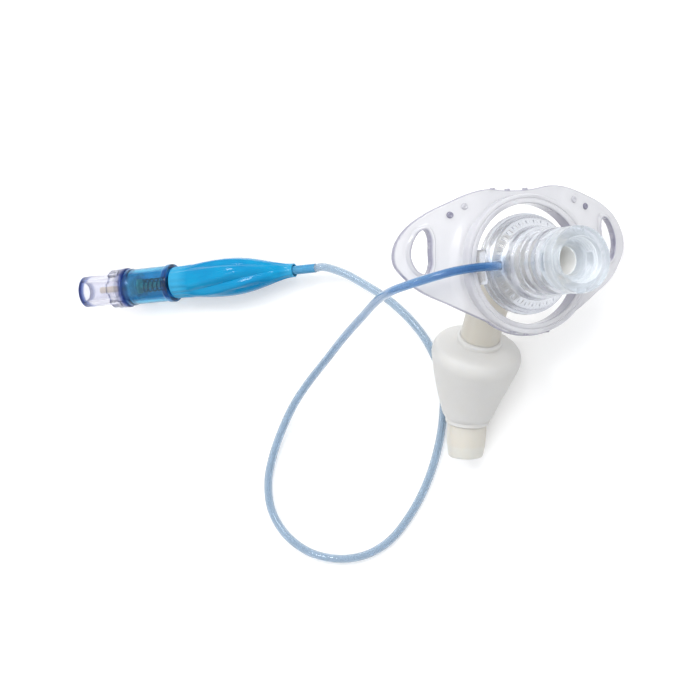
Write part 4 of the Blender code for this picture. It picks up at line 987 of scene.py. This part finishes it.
# Spring: open coil of drawn steel wire with cut ends, loose between the housing's floor and the plunger's
# head, which it presses back to shut the valve.
SPRING_R, WIRE_R, SPRING_SPAN = 1.55, 0.24, (41.74, 49.46)
SPRING_TURNS, STEPS_PER_TURN, WIRE_SIDES = 6, 30, 14
coil_turn = np.linspace(0, 2 * math.pi * SPRING_TURNS, STEPS_PER_TURN * SPRING_TURNS + 1)
coil_y = np.linspace(*SPRING_SPAN, len(coil_turn))
coil_path = pilot(np.stack([SPRING_R * np.cos(coil_turn), coil_y, SPRING_R * np.sin(coil_turn)], axis=1))
coil_places = np.arange(len(coil_path))
coil_steps = np.concatenate([coil_places[[0, 0]], coil_places, coil_places[[-1, -1]]])
coil_radii = np.full(len(coil_steps), WIRE_R)
coil_radii[[0, -1]], coil_radii[[1, -2]] = 0.0, 0.85 * WIRE_R
coil_skin = along_path(coil_path, coil_radii * MM, WIRE_SIDES, coil_steps)
spring = piece("valve_spring_coil", [(coil_skin, False, True)], "tube", "valve_spring")
spring_finish = Finish("spring_steel", Metallic=1.0, IOR=1.5)
wire_noise = spring_finish.noise(0.4, 3.0)
spring_finish.vary(
    Base_Color=spring_finish.mix(wire_noise, seen(30, 38, 42), seen(60, 70, 76)),
    Roughness=spring_finish.between(wire_noise, 0.2, 0.9) * 0.2 + 0.25,
)
spring_finish.bump(0.004, 0.12, 2.0).on(spring)


# Table and light: a white table that keeps a soft shadow, under a big lamp beyond the flange's end, a small
# one beyond the pilot and a weak wide one on the side of the line's loop.
FLOOR_HALF, FLOOR_Z = 0.9, -0.00004
floor_mesh = bpy.data.meshes.new("table")
floor_signs = ((-1, -1), (1, -1), (1, 1), (-1, 1))
floor_corners = [(x * FLOOR_HALF, y * FLOOR_HALF, FLOOR_Z) for x, y in floor_signs]
floor_mesh.from_pydata(floor_corners, [], [(0, 1, 2, 3)])
floor = placed("table", floor_mesh)


def background_rays(nodes):
    """1 for a ray that shows the background itself, or shows it in gloss or through clear plastic."""
    kinds = ("Is Camera Ray", "Is Glossy Ray", "Is Transmission Ray")
    straight, glossy, clear = [nodes.node("ShaderNodeLightPath", output=kind) for kind in kinds]
    total = straight + glossy + clear
    return total.math("MINIMUM", total, 1.0)


floor_finish = Finish("table_white", Roughness=0.9, Specular_IOR_Level=0.0, Emission_Strength=0.34)
floor_tone = floor_finish.mix(floor_finish.noise(40.0), (0.74, 0.74, 0.74), (0.76, 0.76, 0.76))
floor_glow = floor_finish.mix(background_rays(floor_finish), (0.0, 0.0, 0.0), (1.0, 1.0, 1.0))
floor_finish.vary(Base_Color=floor_tone, Emission_Color=floor_glow)
floor_finish.on(floor)

world = bpy.data.worlds.new("studio")
world.use_nodes = True
bpy.context.scene.world = world
sky = Nodes(world.node_tree)
direction = sky.node("ShaderNodeTexCoord", output="Generated")
height = sky.node("ShaderNodeSeparateXYZ", {}, {0: direction}, output="Z")
shown = sky.ramp(
    height * 0.5 + 0.5, (0.35, (0.5, 0.5, 0.55)), (0.55, (0.3, 0.3, 0.36)), (0.68, (1.0, 1.0, 1.0)),
)
shown = sky.mix(sky.node("ShaderNodeLightPath", output="Is Camera Ray"), shown, (1.0, 1.0, 1.0))
sky_tone = sky.mix(background_rays(sky), (0.66, 0.67, 0.69), shown)
sky.wire(world.node_tree.nodes["Background"], {"Color": sky_tone})


def lamp(name, place, size, watts):
    """A square lamp at this place, turned to the middle of the table."""
    light = bpy.data.lights.new(name, "AREA")
    light.energy, light.size = watts, size
    away = np.array(place) - (0.0, 0.045, 0.01)
    away /= np.linalg.norm(away)
    across = np.cross((0.0, 1.0, 0.0), away)
    across /= np.linalg.norm(across)
    up = np.cross(away, across)
    way = Matrix([(*across, 0), (*up, 0), (*away, 0), (*place, 1)])
    placed(name, light).matrix_world = way.transposed()


lamp("key_lamp", (0.45, -0.3, 0.75), 0.5, 4.6)
lamp("left_lamp", (0.42, 0.38, 0.75), 0.16, 1.6)
lamp("fill_lamp", (-0.3, 0.5, 0.6), 0.6, 0.4)
bpy.context.scene.view_settings.view_transform = "Standard"
